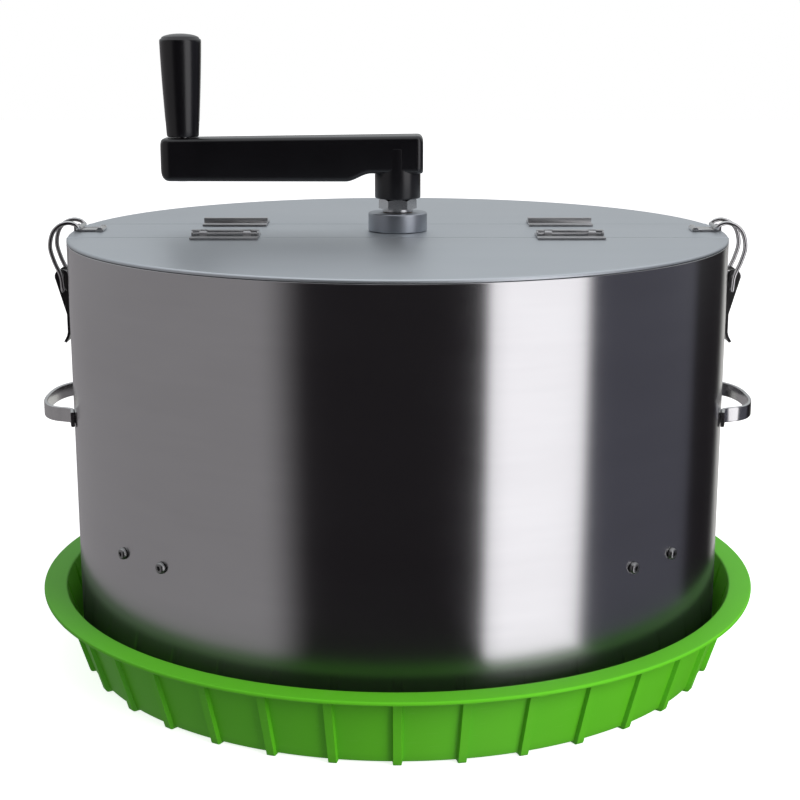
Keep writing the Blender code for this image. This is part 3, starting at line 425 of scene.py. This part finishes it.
def green_plastic():
    """Bright green moulded plastic: faint flow lines, a fine satin skin, painted shade at the foot and
    in reflections.
    """
    look = Look("green_moulding")
    z = look.parts()[2]
    flow = look.noise(look.place((1, 1, 2.5)), 8.0, 3.0, 0.55)
    skin_marks = look.noise(look.place(), 900.0, 2.0, 0.5)
    dimples = look.noise(look.place(), 55.0, 2.0, 0.5)
    scuffs = look.ease(look.noise(look.place((3, 3, 30)), 26.0, 4.0, 0.7), 0.60, 0.72)
    base = look.blend(flow, colour(0.102, 0.50, 0.012), colour(0.130, 0.575, 0.018))
    base = look.blend(scuffs * 0.20, base, colour(0.24, 0.62, 0.10))
    # painted shade: the lowest 8 mm of the dish, at the floor and under the drum, is darker green
    base = look.blend((1 - look.ease(z, 0.0, 0.008)) * 0.30, base, colour(0.06, 0.30, 0.010))
    # painted shade in reflections: for glossy rays the green turns near black, so the drum mirrors a
    # dark tray
    path = look.tree.nodes.new("ShaderNodeLightPath")
    glossy_ray_painted_shade = Value(look.tree, path.outputs["Is Glossy Ray"])
    base = look.blend(glossy_ray_painted_shade * 0.80, base, colour(0.004, 0.02, 0.001))
    look.set(
        Base_Color=base,
        Roughness=0.44 + 0.10 * flow + 0.08 * scuffs,
        Specular_IOR_Level=0.32,
        Normal=look.bump(skin_marks * 0.4 + dimples * 1.6, 0.00006, 0.4),
    )
    return look.block


def rubber():
    look = Look("seal_rubber")
    grit = look.noise(look.place(), 600.0, 3.0, 0.6)
    bloom = look.noise(look.place(), 30.0, 3.0, 0.6)
    look.set(
        Base_Color=look.blend(bloom, colour(0.014, 0.014, 0.015), colour(0.030, 0.030, 0.031)),
        Roughness=0.62 + 0.2 * grit,
        Normal=look.bump(grit, 0.00005, 0.4),
    )
    return look.block


LOOKS = {
    "drum": drum_steel(),
    "lid": lid_steel(),
    "bright": plain_metal("bright_steel", (0.60, 0.60, 0.61), (0.78, 0.77, 0.76), 0.14),
    "satin": plain_metal("satin_steel", (0.50, 0.50, 0.51), (0.66, 0.66, 0.66), 0.38),
    "bolt": plain_metal("bolt_steel", (0.26, 0.26, 0.26), (0.40, 0.40, 0.40), 0.27),
    # painted shade: a darker copy of the plain steel for the latch levers, standing in for the shade
    # and dark reflections on them
    "dark": plain_metal("dark_steel", (0.12, 0.12, 0.125), (0.30, 0.295, 0.29), 0.24),
    "aluminium": turned_metal("turned_aluminium", (0.36, 0.385, 0.42), (0.52, 0.545, 0.59), 0.30),
    "black": black_plastic(),
    "green": green_plastic(),
    "rubber": rubber(),
    "bronze": turned_metal("bearing_bronze", (0.42, 0.26, 0.11), (0.62, 0.42, 0.20), 0.28),
}


def fit_out(thing, look, body, slot, *nodes):
    """Gives a finished piece its material, its body and the CAD nodes it stands for; slot is not used.
    """
    thing.data.materials.clear()
    thing.data.materials.append(LOOKS[look])
    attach(thing, body)
    if nodes:
        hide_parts(*nodes)
    return thing


def box(node):
    low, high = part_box(node)
    return np.array(low), np.array(high)


# ------------------------------------------------------------------ drip tray
def make_tray():
    """The dish as one loop of (r, z) carried round Z; ribs swell its outer wall.

    A rib adds rib(a) to the radius: 1 on its flat top, falling to 0 over its two sides.
    """
    high = box("drip_tray")[1]
    lip, top = high[0], high[2]
    drum_radius = box("drum_shell")[1][0]
    ledge = box("drum_shell")[0][2] - 0.0003
    step = drum_radius + 0.0012
    flare = 0.0080
    slope = flare / (top - ledge)

    def wall(height):
        return step + 0.0022 + slope * (height - ledge)

    under = top - 0.0024
    outer = [(wall(0.003) - 0.0045, 0.0), (wall(0.0) - 0.0004, 0.0), (wall(under), under)]
    rim = [(lip, under), (lip, top)]
    inner = [(step + flare, top), (step, ledge), (step - 0.0085, ledge), (step - 0.0095, 0.006),
             (step - 0.0125, 0.003), (0.0, 0.003)]
    corners = [(0.0, 0.0)] + outer + rim + inner
    radii = [0, 0.0008, 0.0022, 0.0012, 0.0011, 0.0011, 0.0012, 0.0010, 0.0014, 0.0010, 0.0022, 0]
    outline = fillet(corners, radii, 5, closed=False)
    on_wall = np.array([wall(z) - 0.004 < r and z < under + 0.0003 for r, z in outline])
    share = np.where(on_wall, np.clip((under - outline[:, 1]) / 0.0006 + 0.2, 0, 1), 0.0)
    lift = np.where(on_wall & (outline[:, 1] < 0.006), 0.0012 * (1 - outline[:, 1] / 0.006), 0.0)

    count = 36
    pitch = TURN / count
    half, side, depth = 0.00225, 0.0006, 0.0025
    at_ribs = 0.205  # the radius on which the ribs' widths are measured
    marks = np.array([0, 0.5, 0.85, 1.0, 1.1, 1.25, 1.4]) * half
    marks = np.concatenate([marks, np.linspace(0.0042, pitch * at_ribs - 0.0042, 6)]) / at_ribs
    marks = np.concatenate([marks, pitch - marks[6:0:-1]])
    angle = (marks[None] + pitch * np.arange(count)[:, None] - math.pi / 2).reshape(-1)
    off = np.abs((angle + math.pi / 2 + pitch / 2) % pitch - pitch / 2) * at_ribs
    edge = np.clip((half + side - off) / side, 0, 1)
    rib = edge * edge * (3 - 2 * edge)
    radius = outline[:, :1] + depth * share[:, None] * rib
    height = outline[:, 1:] + lift[:, None] * (1 - rib)
    rings = np.stack([radius * np.cos(angle), radius * np.sin(angle), height], -1)
    fit_out(skin("tray_dish", rings, "open", 32), "green", "tray", "green", "drip_tray")


# ------------------------------------------------------------------ drum
def make_drum():
    """The shell, its rolled foot and rim, and the seal, all as turned outlines."""
    low, high = box("drum_shell")
    radius, foot, rim = high[0], low[2], high[2]
    wall = 0.0012
    flange = radius - 0.0055
    ledge = box("rim_seal")[0][2] - 0.0003
    outline = [(radius - wall, foot), (radius, foot), (radius, rim), (radius - wall, rim),
               (radius - wall, ledge), (flange, ledge), (flange, ledge - wall),
               (radius - wall, ledge - wall)]
    outline = fillet(outline, [0.0004, 0.0005, 0.0005, 0.0004, 0.0002, 0.0004, 0.0004, 0.0003], 5)
    rings = lathe(outline, 480)
    fit_out(skin("drum_wall", rings, "loop", 40), "drum", "drum", "steel", "drum_shell")

    low, high = box("rim_seal")
    seal = [(flange + 0.0003, low[2]), (high[0], low[2]), (high[0], high[2]),
            (flange + 0.0003, high[2])]
    fit_out(turned("seal_ring", seal, 0.0008, 360), "rubber", "drum", "rubber", "rim_seal")


def bolt_rings(radius, out, head, rise):
    """A button-head bolt along +Z with a hexagon socket.

    Outline: shank, underside, domed head; the socket's side follows h / cos(a mod 60 - 30).
    """
    t = np.linspace(0, 1, 9)[:, None]
    dome = np.concatenate([head * np.cos(t * 0.98), out + rise * np.sin(t * math.pi / 2)], 1)
    socket = head * 0.42
    outline = np.concatenate([[(0, out - 0.013), (radius, out - 0.013), (radius, out)],
                              [(head * 0.98, out)], dome,
                              [(socket * 1.08, out + rise), (socket, out + rise - 0.0002),
                               (socket, out + rise * 0.35), (0, out + rise * 0.30)]])
    rings = lathe(outline, 36)
    angle = np.linspace(0, TURN, 36, endpoint=False)
    flat = math.cos(math.pi / 6) / np.cos(angle % (math.pi / 3) - math.pi / 6)
    rings[-4:, :, :2] *= flat[None, :, None]
    return rings


def lay_out(rings, angle, height):
    """A piece made along +Z, laid down along a radius of the drum at an angle and a height."""
    out = np.array([math.cos(angle), math.sin(angle), 0.0])
    across = np.array([-math.sin(angle), math.cos(angle), 0.0])
    up = np.array([0.0, 0.0, 1.0])
    return rings[..., 2:] * out + rings[..., :1] * across + rings[..., 1:2] * up + up * height


def make_bolts():
    """Eight frame bolts through the drum's wall, with a nut inside on each."""
    spread = math.radians(5.0)
    names = ("back_right", "back_left", "front_left", "front_right")
    for quarter, name in enumerate(names):
        for way, hand in ((-1, "a"), (1, "b")):
            node = f"frame_bolt_{name}_{hand}"
            low, high = box(node)
            angle = math.radians(45 + 90 * quarter) + way * spread
            height = (low[2] + high[2]) / 2
            bolt = bolt_rings(0.0019, 0.2003, 0.0034, 0.0023)
            nut = lathe(fillet([(0.0019, 0.1911), (0.0035, 0.1911), (0.0035, 0.1950),
                                (0.0019, 0.1950)], 0.0003), 24)
            thing = skin(f"bolt_{name}_{hand}", [lay_out(bolt, angle, height)], "open", 38)
            fit_out(thing, "bolt", "drum", "bright", node)
            ring = skin(f"nut_{name}_{hand}", lay_out(nut, angle, height), "loop", 38)
            fit_out(ring, "bright", "drum", "bright")


def make_handles():
    """A flat strap bent to a D: its middle line carried round, with rounded edges."""
    for side, way in (("right", 1), ("left", -1)):
        low, high = box(f"handle_{side}")
        middle = (low[2] + high[2]) / 2
        half = (high[2] - low[2]) / 2
        reach = max(abs(low[0]), abs(high[0]))
        radius, spread, strap = 0.200, 0.040, 0.0022
        face = radius + 0.0003
        t = np.linspace(-math.pi / 2, math.pi / 2, 49)
        wide = np.sign(np.sin(t)) * np.abs(np.sin(t)) ** 0.8
        deep = np.cos(t).clip(0) ** 0.8
        root = math.sqrt(radius ** 2 - spread ** 2) + 0.0006
        bow = np.stack([root + (reach - strap / 2 - root) * deep, (spread - strap / 2) * wide], -1)
        foot_angle = np.linspace(math.asin(spread / radius) + math.radians(3.6),
                                 math.asin(spread / radius) + math.radians(0.3), 5)
        line = face + strap / 2
        lower = np.stack([line * np.cos(foot_angle), -line * np.sin(foot_angle)], -1)
        upper = lower[::-1] * np.array([1, -1])
        path = np.concatenate([lower, bow[2:-2], upper])
        path = smooth_path(path[::2] if len(path) % 2 else path, 3)
        along = np.gradient(path, axis=0)
        along /= np.linalg.norm(along, axis=1)[:, None]
        across = np.stack([along[:, 1], -along[:, 0]], -1)
        section = fillet([(-strap / 2, -half), (strap / 2, -half), (strap / 2, half),
                          (-strap / 2, half)], 0.0008, 5)
        flat = path[:, None] + across[:, None] * section[None, :, :1]
        level = np.broadcast_to(middle + section[None, :, 1:], flat.shape[:2] + (1,))
        rings = np.concatenate([flat, level], -1)
        if way < 0:
            rings = half_turn(rings)
        fit_out(skin(f"grab_handle_{side}", rings, "cap", 45), "bright", "drum", "bright",
                f"handle_{side}")


# ------------------------------------------------------------------ latches
def make_bails():
    """The latch wires, on the CAD's middle line: one cheek, up round the lid's edge, and back."""
    top = box("lid_bridge")[1][2]
    radius = box("drum_shell")[1][0]
    side = np.array([
        (0.0056, -0.0360), (0.0064, -0.0270), (0.0100, -0.0180), (0.0122, -0.0093),
        (0.0106, -0.0010), (0.0064, 0.0039), (0.0012, 0.0057), (-0.0030, 0.0050),
        (-0.0054, 0.0032),
    ])
    wide, stub, bend = 0.010, 0.0059, 0.0010
    curve = smooth_path(side, 6)
    turn = np.linspace(0, math.pi / 2, 6)[1:-1]
    start, end = curve[0], curve[-1]
    run = curve[1] - curve[0]
    run /= np.linalg.norm(run)
    out = curve[-1] - curve[-2]
    out /= np.linalg.norm(out)
    near = [(start[0], stub, start[1]), (start[0], wide - bend, start[1])]
    near += [(start[0] + run[0] * bend * (1 - math.cos(t)), wide - bend + bend * math.sin(t),
              start[1] + run[1] * bend * (1 - math.cos(t))) for t in turn]
    near += [(p[0], wide, p[1]) for p in curve[2:-1]]
    near += [(end[0] + out[0] * bend * math.sin(t) * 0.5, wide - bend * (1 - math.cos(t)),
              end[1] + out[1] * bend * math.sin(t) * 0.5) for t in turn]
    near += [(end[0] + out[0] * bend * 0.5, wide - bend, end[1] + out[1] * bend * 0.5)]
    path = np.array(near + [(x, -y, z) for x, y, z in reversed(near)])
    path = path + np.array([radius, 0.0, top])
    for name, change in (("right", np.array), ("left", half_turn)):
        rings = change(wire(path, 0.0013, 18))
        fit_out(skin(f"latch_wire_{name}", rings, "cap", 50), "bright", f"bail_{name}", "bright",
                f"latch_bail_{name}")


def make_small_fittings():
    """Latches, hinges and keepers: the CAD's own shapes with soft edges."""
    for side in ("right", "left"):
        fit_out(soft_copy(f"latch_base_{side}", 0.00022), "bright", "drum", "bright",
                f"latch_base_{side}")
        # the levers take the darker steel, which is painted shade
        fit_out(soft_copy(f"latch_lever_{side}", 0.00022), "dark", f"lever_{side}", "dark",
                f"latch_lever_{side}")
        fit_out(soft_copy(f"keeper_{side}", 0.0002), "bright", "lid", "bright", f"keeper_{side}")
        for end in ("front", "back"):
            fit_out(soft_copy(f"hinge_cover_{end}_{side}", 0.00016), "satin", "lid", "bright",
                    f"hinge_cover_{end}_{side}")
            fit_out(soft_copy(f"hinge_leaf_{end}_{side}", 0.00016), "satin", f"flap_{end}",
                    "bright", f"hinge_leaf_{end}_{side}")


# ------------------------------------------------------------------ lid
def lid_outline(start, end, radius, edge_line):
    """Half-moon between two angles of a circle, closed along a straight line at y = edge_line."""
    angle = np.linspace(start, end, 161)
    arc = np.stack([radius * np.cos(angle), radius * np.sin(angle)], -1)
    straight = np.linspace(arc[-1], arc[0], 42)[1:-1]
    straight[:, 1] = edge_line
    share = np.concatenate([np.ones(len(arc)), np.full(len(straight), 0.06)])
    return np.concatenate([arc, straight]), share


def make_lid():
    low, high = box("flap_back")
    base, top = low[2], high[2]
    radius = box("drum_shell")[1][0]
    edge = low[1]
    sweep = math.asin(edge / radius)
    for side, way in (("back", 1), ("front", -1)):
        outline, share = lid_outline(sweep, math.pi - sweep, radius, edge)
        rings = plate(outline, base, top, 0.0003, 0.0016, share)
        rings = rings if way > 0 else half_turn(rings)
        fit_out(skin(f"half_lid_{side}", rings, "cap", 40), "lid", f"flap_{side}", "lid",
                f"flap_{side}")

    low, high = box("lid_bridge")
    edge = high[1]
    sweep = math.asin(edge / radius)
    angle = np.linspace(-sweep, sweep, 25)
    arc = np.stack([radius * np.cos(angle), radius * np.sin(angle)], -1)
    line = np.linspace(arc[-1], -arc[0], 40)[1:-1]
    outline = np.concatenate([arc, line, -arc, -line])
    share = np.full(len(outline), 0.06)
    share[:len(arc)] = 1.0
    share[len(arc) + len(line):2 * len(arc) + len(line)] = 1.0
    spans = [plate(outline, base, top, 0.0003, 0.0016, share)]
    fold_reach = radius - 0.0155
    for way in (-1, 1):
        middle = way * (edge - 0.0045)
        fold = fillet([(-fold_reach, middle - 0.00075), (fold_reach, middle - 0.00075),
                       (fold_reach, middle + 0.00075), (-fold_reach, middle + 0.00075)], 0.0006)
        spans.append(plate(fold, low[2], base + 0.0004, 0.0003, 0.0003))
    for number, span in enumerate(spans):
        nodes = ["lid_bridge"] if number == 0 else []
        name = ("bridge_sheet", "bridge_fold_front", "bridge_fold_back")[number]
        fit_out(skin(name, span, "cap", 40), "lid", "lid", "lid", *nodes)


# ------------------------------------------------------------------ bearing and crank
def nut(name, node, bore, corner, look, body, collar=None):
    """A hexagon nut whose corners are cut by a cone at 30 degrees, above and below."""
    low, high = box(node)
    steps = 144
    angle = np.linspace(0, TURN, steps, endpoint=False)
    flats = corner * math.cos(math.pi / 6)
    side = flats / np.cos(angle % (math.pi / 3) - math.pi / 6)
    foot = low[2] + (collar[1] if collar else 0.0)
    cut = np.clip(side - flats * 1.02, 0, None) * math.tan(math.pi / 6)
    top = high[2] - cut
    under = foot + (np.zeros(steps) if collar else cut)
    shelf = flats * 0.985

    def ring(radius, height):
        radius, height = radius + np.zeros(steps), height + np.zeros(steps)
        return np.stack([radius * np.cos(angle), radius * np.sin(angle), height], -1)

    rings = [ring(bore, low[2] + 0.0004), ring(bore + 0.0004, low[2])]
    if collar:
        rings += [ring(collar[0] - 0.0003, low[2]), ring(collar[0], low[2] + 0.0003),
                  ring(collar[0], foot)]
    rings += [ring(shelf, foot), ring(side, under + 0.0001), ring(side, top - 0.0001),
              ring(side - 0.00012, top), ring(shelf, high[2] - 0.00002), ring(shelf - 0.0003, high[2]),
              ring(bore + 0.0006, high[2]), ring(bore, high[2] - 0.0005)]
    fit_out(skin(name, np.stack(rings), "loop", 25), look, body, look, node)


def make_bearing():
    low, high = box("bearing_housing")
    foot, top, radius = low[2], high[2], high[0]
    lid_top = box("lid_bridge")[1][2]
    spigot, bore = 0.0114, 0.0091
    outline = [(bore, foot), (spigot, foot), (spigot, lid_top + 0.0003), (radius, lid_top + 0.0003),
               (radius, top), (bore, top)]
    fit_out(turned("bearing_boss", outline, [0.0003, 0.0006, 0.0002, 0.0007, 0.0013, 0.0004], 160),
            "aluminium", "lid", "aluminium", "bearing_housing")
    nut("boss_nut", "housing_nut", spigot + 0.0003, 0.017, "aluminium", "lid")
    low, high = box("spindle_bush")
    outline = [(0.0063, low[2]), (0.0088, low[2]), (0.0088, high[2]), (0.0063, high[2])]
    fit_out(turned("bronze_bush", outline, 0.0005, 96), "bronze", "lid", "bronze", "spindle_bush")
    nut("jam_nut", "lock_nut", 0.0063, 0.0116, "bright", "crank", (0.0095, 0.0018))


def arm_rings(left, right, low, top, fall):
    """The crank's arm as rounded sections along X.

    The half width grows evenly from the grip to the hub, the top falls a little towards the grip,
    and the underside rises to the hub along a smooth step. Close to each end the section shrinks
    along quarter circles, so the ends are round in plan and from the side.
    """
    ease = np.linspace(0, math.pi / 2, 12)
    x = np.concatenate([left + 0.007 * (1 - np.cos(ease)), np.linspace(left + 0.009, -0.034, 16),
                        np.linspace(-0.032, -0.008, 20), [-0.004, 0.0, 0.004, 0.008],
                        (right - 0.005 * (1 - np.cos(ease)))[::-1]])

    def round_end(radius, distance):
        inside = np.clip(radius - distance, 0, radius)
        return radius - np.sqrt(radius ** 2 - inside ** 2)

    share = (x - left) / (right - left)
    half = 0.011 + 0.003 * share - round_end(0.007, x - left) - round_end(0.004, right - x)
    roof = top - fall * (1 - share) - round_end(0.0032, x - left) - round_end(0.0032, right - x)
    step_start, step_run, step_rise = -0.0315, 0.0155, 0.0049
    step = np.clip((x - step_start) / step_run, 0, 1)
    floor = low + step_rise * step * step * (3 - 2 * step)
    floor = floor + round_end(0.0055, x - left) + round_end(0.0012, right - x)
    corner = np.minimum(0.0032, np.minimum(half, (roof - floor) / 2) * 0.95)
    steps = 8
    arc = np.linspace(0, math.pi / 2, steps + 1)
    sign = [(1, 1), (-1, 1), (-1, -1), (1, -1)]
    rings = []
    for quarter, (y_way, z_way) in enumerate(sign):
        t = arc if quarter % 2 == 0 else arc[::-1]
        y = y_way * (half[:, None] - corner[:, None] * (1 - np.cos(t)))
        z_mid = (roof if z_way > 0 else floor)[:, None]
        z = z_mid - z_way * corner[:, None] * (1 - np.sin(t))
        rings.append(np.stack([np.broadcast_to(x[:, None], y.shape), y, z], -1))
    return np.concatenate(rings, 1)


def make_crank():
    low, high = box("crank_arm")
    top = high[2]
    left, right = low[0], high[0]
    depth, fall = 0.0276, 0.0020
    bar = arm_rings(left, right, top - depth, top, fall)
    fit_out(skin("crank_bar", bar, "cap", 60), "black", "crank", "black", "crank_arm")
    hub = low[2]
    boss = [(0.0053, hub), (0.014, hub), (0.014, top - 0.008), (0.0053, top - 0.008)]
    fit_out(turned("crank_boss", boss, [0.0004, 0.0012, 0.0002, 0.0002], 128), "black", "crank",
            "black")

    low, high = box("grip_pin")
    x = (low[0] + high[0]) / 2
    floor = top - depth
    head = [(0.0, floor + 0.0035), (0.0073, floor + 0.0035), (0.0073, floor - 0.0002),
            (0.0038, floor - 0.0002), (0.0034, floor + 0.0018), (0.0, floor + 0.0018)]
    post = [(0.0, floor + 0.003), (0.004, floor + 0.003), (0.004, high[2]), (0.0, high[2])]
    fit_out(turned("grip_bolt_head", head, 0.0004, 72, (x, 0), solid=True), "bright", "crank",
            "bright", "grip_pin")
    fit_out(turned("grip_bolt", post, 0.0006, 48, (x, 0), solid=True), "bright", "crank", "bright")

    low, high = box("grip_sleeve")
    foot, head = low[2], high[2]
    narrow, wide = 0.0097, high[0] - x
    rise = np.linspace(0.0012, head - foot - 0.0052, 22)
    t = rise / rise[-1]
    side = np.stack([narrow + (wide - narrow) * (1.25 * t - 0.25 * t * t * t), foot + rise], -1)
    t = np.linspace(0, 1, 9)
    dome = np.stack([(wide - 0.0010) * np.cos(t * math.pi / 2),
                     head - 0.0030 + 0.0030 * np.sin(t * math.pi / 2)], -1)
    outline = np.concatenate([
        [(0.0, foot + 0.056), (0.0043, foot + 0.056), (0.0043, foot), (narrow - 0.0008, foot),
         (narrow - 0.0002, foot + 0.0003)], side,
        [(wide, head - 0.0042), (wide - 0.0003, head - 0.0034)], dome])
    outline[-1, 0] = 0.0
    rings = lathe(outline, 112, (x, 0))
    fit_out(skin("grip_turned", rings, "open", 40), "black", "grip", "black", "grip_sleeve")


# ------------------------------------------------------------------ cage
def make_cage():
    """Welded wire panels in the cage's four sides, and its flat-bar frames with soft edges."""
    for quarter, side in enumerate(("right", "back", "left", "front")):
        low, high = box(f"cage_screen_{side}")
        half = max(high[0] - low[0], high[1] - low[1]) / 2
        centre = (low + high) / 2
        place = math.hypot(centre[0], centre[1])
        base, top = low[2], high[2]
        frame_out = fillet([(-half, base), (half, base), (half, top), (-half, top)], 0.001, 3)
        count = len(frame_out)
        frame_in = frame_out - np.sign(frame_out - [0, (base + top) / 2]) * 0.005
        border = np.stack([
            np.concatenate([np.full((count, 1), depth), ring], 1)
            for depth, ring in ((-0.0014, frame_out), (0.0014, frame_out),
                                (0.0014, frame_in), (-0.0014, frame_in))
        ])
        shells = [border]
        upright = np.linspace(-half + 0.005, half - 0.005, 27)[1:-1]
        level = np.linspace(base + 0.005, top - 0.005, 15)[1:-1]
        for y in upright:
            shells.append(wire([(-0.0006, y, base + 0.003), (-0.0006, y, top - 0.003)], 0.0007, 6))
        for z in level:
            shells.append(wire([(0.0006, 0.003 - half, z), (0.0006, half - 0.003, z)], 0.0007, 6,
                               (1, 0, 0.2)))
        turn = quarter * math.pi / 2
        spin = np.array([[math.cos(turn), math.sin(turn), 0], [-math.sin(turn), math.cos(turn), 0],
                         [0, 0, 1]])
        moved = [(shell + np.array([place, 0, 0])) @ spin for shell in shells]
        faces = skin_faces(4, count, 0, "loop")
        points, first = [moved[0].reshape(-1, 3)], 4 * count
        for shell in moved[1:]:
            faces += skin_faces(*shell.shape[:2], first, "cap")
            points.append(shell.reshape(-1, 3))
            first += shell.shape[0] * shell.shape[1]
        panel = finish_mesh(f"comb_screen_{side}", np.concatenate(points), faces, 40)
        fit_out(panel, "bright", "cage", "steel", f"cage_screen_{side}")

        low, high = box(f"cage_post_{side}")
        centre = (low + high) / 2
        outline = [(0, low[2]), (0.004, low[2]), (0.004, high[2]), (0, high[2])]
        fit_out(turned(f"corner_post_{side}", outline, 0.0004, 48, tuple(centre[:2]), solid=True),
                "bright", "cage", "bright", f"cage_post_{side}")
    for node in ("cage_top", "cage_bottom", "cage_hub"):
        fit_out(soft_copy(node, 0.0004), "bright", "cage", "bright", node)
    low, high = box("cage_bush")
    outline = [(0.0083, low[2]), (high[0], low[2]), (high[0], low[2] + 0.0028),
               (high[0] - 0.0035, low[2] + 0.0028), (high[0] - 0.0035, high[2]), (0.0083, high[2])]
    fit_out(turned("thrust_bush", outline, 0.0003, 72), "bronze", "cage", "bronze", "cage_bush")


def dress_inside():
    """The cross frame and the shafts keep their CAD shapes, with their own materials."""
    frames = [f"frame_arm_{name}" for name in ("back_right", "back_left", "front_left",
                                               "front_right")]
    for node in frames + ["frame_hub", "axle_post", "axle_nut", "crank_spindle"]:
        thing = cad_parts[node]
        for slot in thing.material_slots:
            slot.material = LOOKS["bright"]


# ------------------------------------------------------------------ floor, light and camera
def make_stage():
    """A pale floor that only the camera sees, so it neither mirrors nor lights the machine."""
    look = Look("floor_paint")
    shade = look.noise(look.place(), 3.0, 2.0, 0.5)
    look.set(Base_Color=look.blend(shade, colour(0.88, 0.88, 0.88), colour(0.90, 0.90, 0.90)),
             Roughness=0.8, Emission_Color=colour(1.0, 1.0, 1.0), Emission_Strength=0.78)
    span = 6.0
    points = np.array([(-span, -span, 0), (span, -span, 0), (span, span, 0), (-span, span, 0)], float)
    floor = finish_mesh("floor", points - np.array([0, 0, 0.0002]), [(0, 1, 2, 3)], 40)
    floor.data.materials.append(look.block)
    floor.visible_glossy = False
    floor.visible_diffuse = False


# The studio wall: a dark curtain in front, and panels round the rest. Each panel has its two ends
# in degrees from the front, with the right side positive, the softness of the ends, and its tone.
CURTAIN = (0.012, 0.010, 0.012)
PANELS = (
    (-200, -38, 9, (0.28, 0.27, 0.28)),  # grey wall, left and behind
    (30, 66, 2, (1.40, 1.38, 1.42)),  # tall soft box, front right
    (66, 120, 3, (0.08, 0.08, 0.10)),  # dim wall, right
    (152, 200, 5, (0.60, 0.60, 0.58)),  # pale wall, behind right
)


def studio_wall(look, angle):
    """The curtain with each panel laid over it, eased in and out at its ends."""
    wall = colour(*CURTAIN)
    for start, end, soft, tone in PANELS:
        cover = look.ease(angle, start - soft, start + soft)
        cover = cover * (1 - look.ease(angle, end - soft, end + soft))
        wall = look.blend(cover, wall, colour(*tone))
    return wall


def make_light():
    """Mirror images get the studio wall under a pale ceiling; soft light is even, with one key lamp."""
    look = Look("studio", world=True)
    ray = look.node("ShaderNodeTexCoord", "Generated")
    split = look.node("ShaderNodeSeparateXYZ", Vector=ray)
    x, y, z = (Value(look.tree, split.socket.node.outputs[k]) for k in range(3))
    turn = x.math("ARCTAN2", y * -1.0) / math.pi
    wall = studio_wall(look, turn * 180.0)
    slats = (turn * 480.0).math("SINE") * 0.05 + 0.97
    lit = look.ease(turn, 0.17, 0.20) * (1 - look.ease(turn, 0.36, 0.38))
    wall = look.blend(lit * slats, look.blend(lit, wall, colour(0.80, 0.80, 0.84)), wall)

    behind = look.ease(y / (x * x + y * y + 1e-6) ** 0.5, -0.25, 0.45)
    start = 0.72 - 0.73 * behind
    height = look.node("ShaderNodeMapRange", settings={"interpolation_type": "SMOOTHSTEP"},
                       Value=z - start, From_Min=0.0, From_Max=0.16)
    ceiling = look.blend(look.ease(z, 0.2, 0.9), colour(0.46, 0.48, 0.49), colour(0.85, 0.87, 0.90))
    mirror = look.blend(height, wall, ceiling)
    room = look.blend(look.ease(z, -0.4, 0.9), colour(0.28, 0.28, 0.28), colour(0.54, 0.54, 0.55))
    path = look.tree.nodes.new("ShaderNodeLightPath")
    seen = Value(look.tree, path.outputs["Is Camera Ray"])
    gloss = Value(look.tree, path.outputs["Is Glossy Ray"])
    light = look.blend(gloss, room, mirror)
    light = look.blend(seen, light, colour(1.0, 1.0, 1.0))
    look.set(Color=light, Strength=1.0)
    bpy.context.scene.world = look.block

    lamp = bpy.data.lights.new("key_lamp", "AREA")
    lamp.shape = "DISK"
    lamp.size = 1.1
    lamp.energy = 25.0
    holder = bpy.data.objects.new("key_lamp", lamp)
    holder.location = (1.12, -1.15, 0.80)
    aim = np.array([0, 0, 0.1]) - np.array(holder.location)
    holder.rotation_euler = (math.atan2(math.hypot(aim[0], aim[1]), -aim[2]), 0,
                             math.atan2(-aim[0], aim[1]))
    holder.visible_glossy = False
    bpy.context.scene.collection.objects.link(holder)


def make_camera():
    place, tilt, lens = (0.0014, -0.9862, 0.3808), 12.976, 72.25
    camera = bpy.data.cameras.new("camera")
    camera.lens = lens
    camera.sensor_width = 36.0
    holder = bpy.data.objects.new("camera", camera)
    holder.location = place
    holder.rotation_euler = (math.radians(90 - tilt), 0, 0)
    bpy.context.scene.collection.objects.link(holder)
    bpy.context.scene.camera = holder


make_camera()
make_tray()
make_drum()
make_bolts()
make_handles()
make_bails()
make_small_fittings()
make_lid()
make_bearing()
make_crank()
make_cage()
dress_inside()
make_stage()
make_light()
bpy.context.scene.view_settings.view_transform = "Standard"
